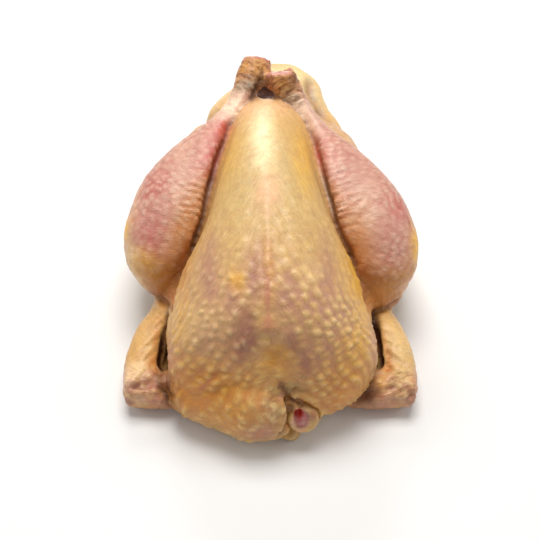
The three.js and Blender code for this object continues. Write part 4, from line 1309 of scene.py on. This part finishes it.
# Hock ends: pink gristle rims round two pale knuckles
ends = [stump]
for sideName in ("left", "right"):
    values = hockValues[sideName]
    discRadius = values["radius"] * hockValues["discShare"]
    end, points, a, b, height, right, up, facing = cutFace(
        "hock_end_" + sideName, values["centre"], values["facing"], discRadius,
        hockValues["discDepthMm"], hockValues["insets"])
    wavy = softNoise(points, 4.5, 8)
    rough = softNoise(points, 1.8, 9)
    reach = np.hypot(a, b) / discRadius
    knuckles = np.exp(-(np.hypot(a - 3.2, b) / 2.7) ** 2) + np.exp(-(np.hypot(a + 3.2, b) / 2.7) ** 2)
    lift = 0.8 * knuckles + 0.3 * np.exp(-((reach - 0.84) / 0.12) ** 2)
    lift += wavy * 0.7 + rough * 0.4 - 0.9 * smoothStep(0.86, 1.02, reach) ** 2
    points = points + facing * (lift * smoothStep(-1.0, -0.2, height))[:, None]
    points += (right * a[:, None] + up * b[:, None]) * (wavy * 0.07)[:, None]
    writePoints(end, points)
    paint = np.tile(np.array(fromHex(hockValues["rim"])[:3]), (len(points), 1))
    paint = layered(paint, hockValues, [
        (knuckles * 1.2, "knuckle"),
        (np.exp(-(np.hypot(a, b * 0.6) / 1.7) ** 2) * 0.9, "middle"),
        (np.clip(0.35 + wavy, 0, 1) * smoothStep(0.7, 0.9, reach) * 0.6, "middle"),
        (smoothStep(-1.2, -2.6, height), "skinEdge"),
    ])
    storeColour(end, "paint", paint)
    ends.append(end)
for piece in ends:
    piece.data.materials.append(fleshMaterial)
    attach(piece, "root")
print("neck and hock cuts made")

# Camera at the photo's viewing angle, floor and lights
cameraValues = {"lens": 51.44, "place": (0.0, -318.2, 349.2), "tiltDegrees": 42.0}
cameraData = bpy.data.cameras.new("camera")
cameraData.lens = cameraValues["lens"]
cameraData.sensor_width = 36
camera = bpy.data.objects.new("camera", cameraData)
camera.location = toFrame(cameraValues["place"])
camera.rotation_euler = (math.radians(cameraValues["tiltDegrees"]), 0, 0)
bpy.context.scene.collection.objects.link(camera)
bpy.context.scene.camera = camera

studioValues = {"floorSizeM": 6, "floor": "#E4E2DF", "floorRoughness": 0.8, "worldStrength": 0.25}
bpy.ops.mesh.primitive_plane_add(size=studioValues["floorSizeM"], location=(0, 0, 0))
floor = bpy.context.object
floor.name = "floor"
floorSurface = {"Base Color": fromHex(studioValues["floor"]), "Roughness": studioValues["floorRoughness"]}
floor.data.materials.append(newMaterial("pale matte floor", floorSurface)[0])

# A big soft box above, a smaller one behind for the streak on the breast, and soft fills
lightValues = {
    "overhead": {"place": (0.0, 0.25, 1.2), "size": (0.7, 0.6), "watts": 13.5},
    "streak": {"place": (-0.14, 0.85, 0.72), "size": (0.46, 0.3), "watts": 3.4},
    "left": {"place": (-0.95, 0.0, 0.7), "size": (0.7, 0.7), "watts": 2.4},
    "right": {"place": (0.95, 0.05, 0.7), "size": (0.7, 0.7), "watts": 2.6},
    "front": {"place": (0.0, -1.1, 0.9), "size": (0.8, 0.8), "watts": 1.7},
}
for name, values in lightValues.items():
    data = bpy.data.lights.new(name, "AREA")
    data.shape = "RECTANGLE"
    data.size, data.size_y = values["size"]
    data.energy = values["watts"]
    lamp = bpy.data.objects.new(name, data)
    lamp.location = values["place"]
    lamp.rotation_euler = (Vector((0, 0, 0.05)) - Vector(values["place"])).to_track_quat("-Z", "Y").to_euler()
    bpy.context.scene.collection.objects.link(lamp)
world = bpy.data.worlds.new("studio")
bpy.context.scene.world = world
world.use_nodes = True
background = world.node_tree.nodes["Background"]
background.inputs["Color"].default_value = (1, 1, 1, 1)
background.inputs["Strength"].default_value = studioValues["worldStrength"]
bpy.context.scene.view_settings.view_transform = "Standard"  # keeps the colours as strong as in the photo
print("camera, floor and lights in place")
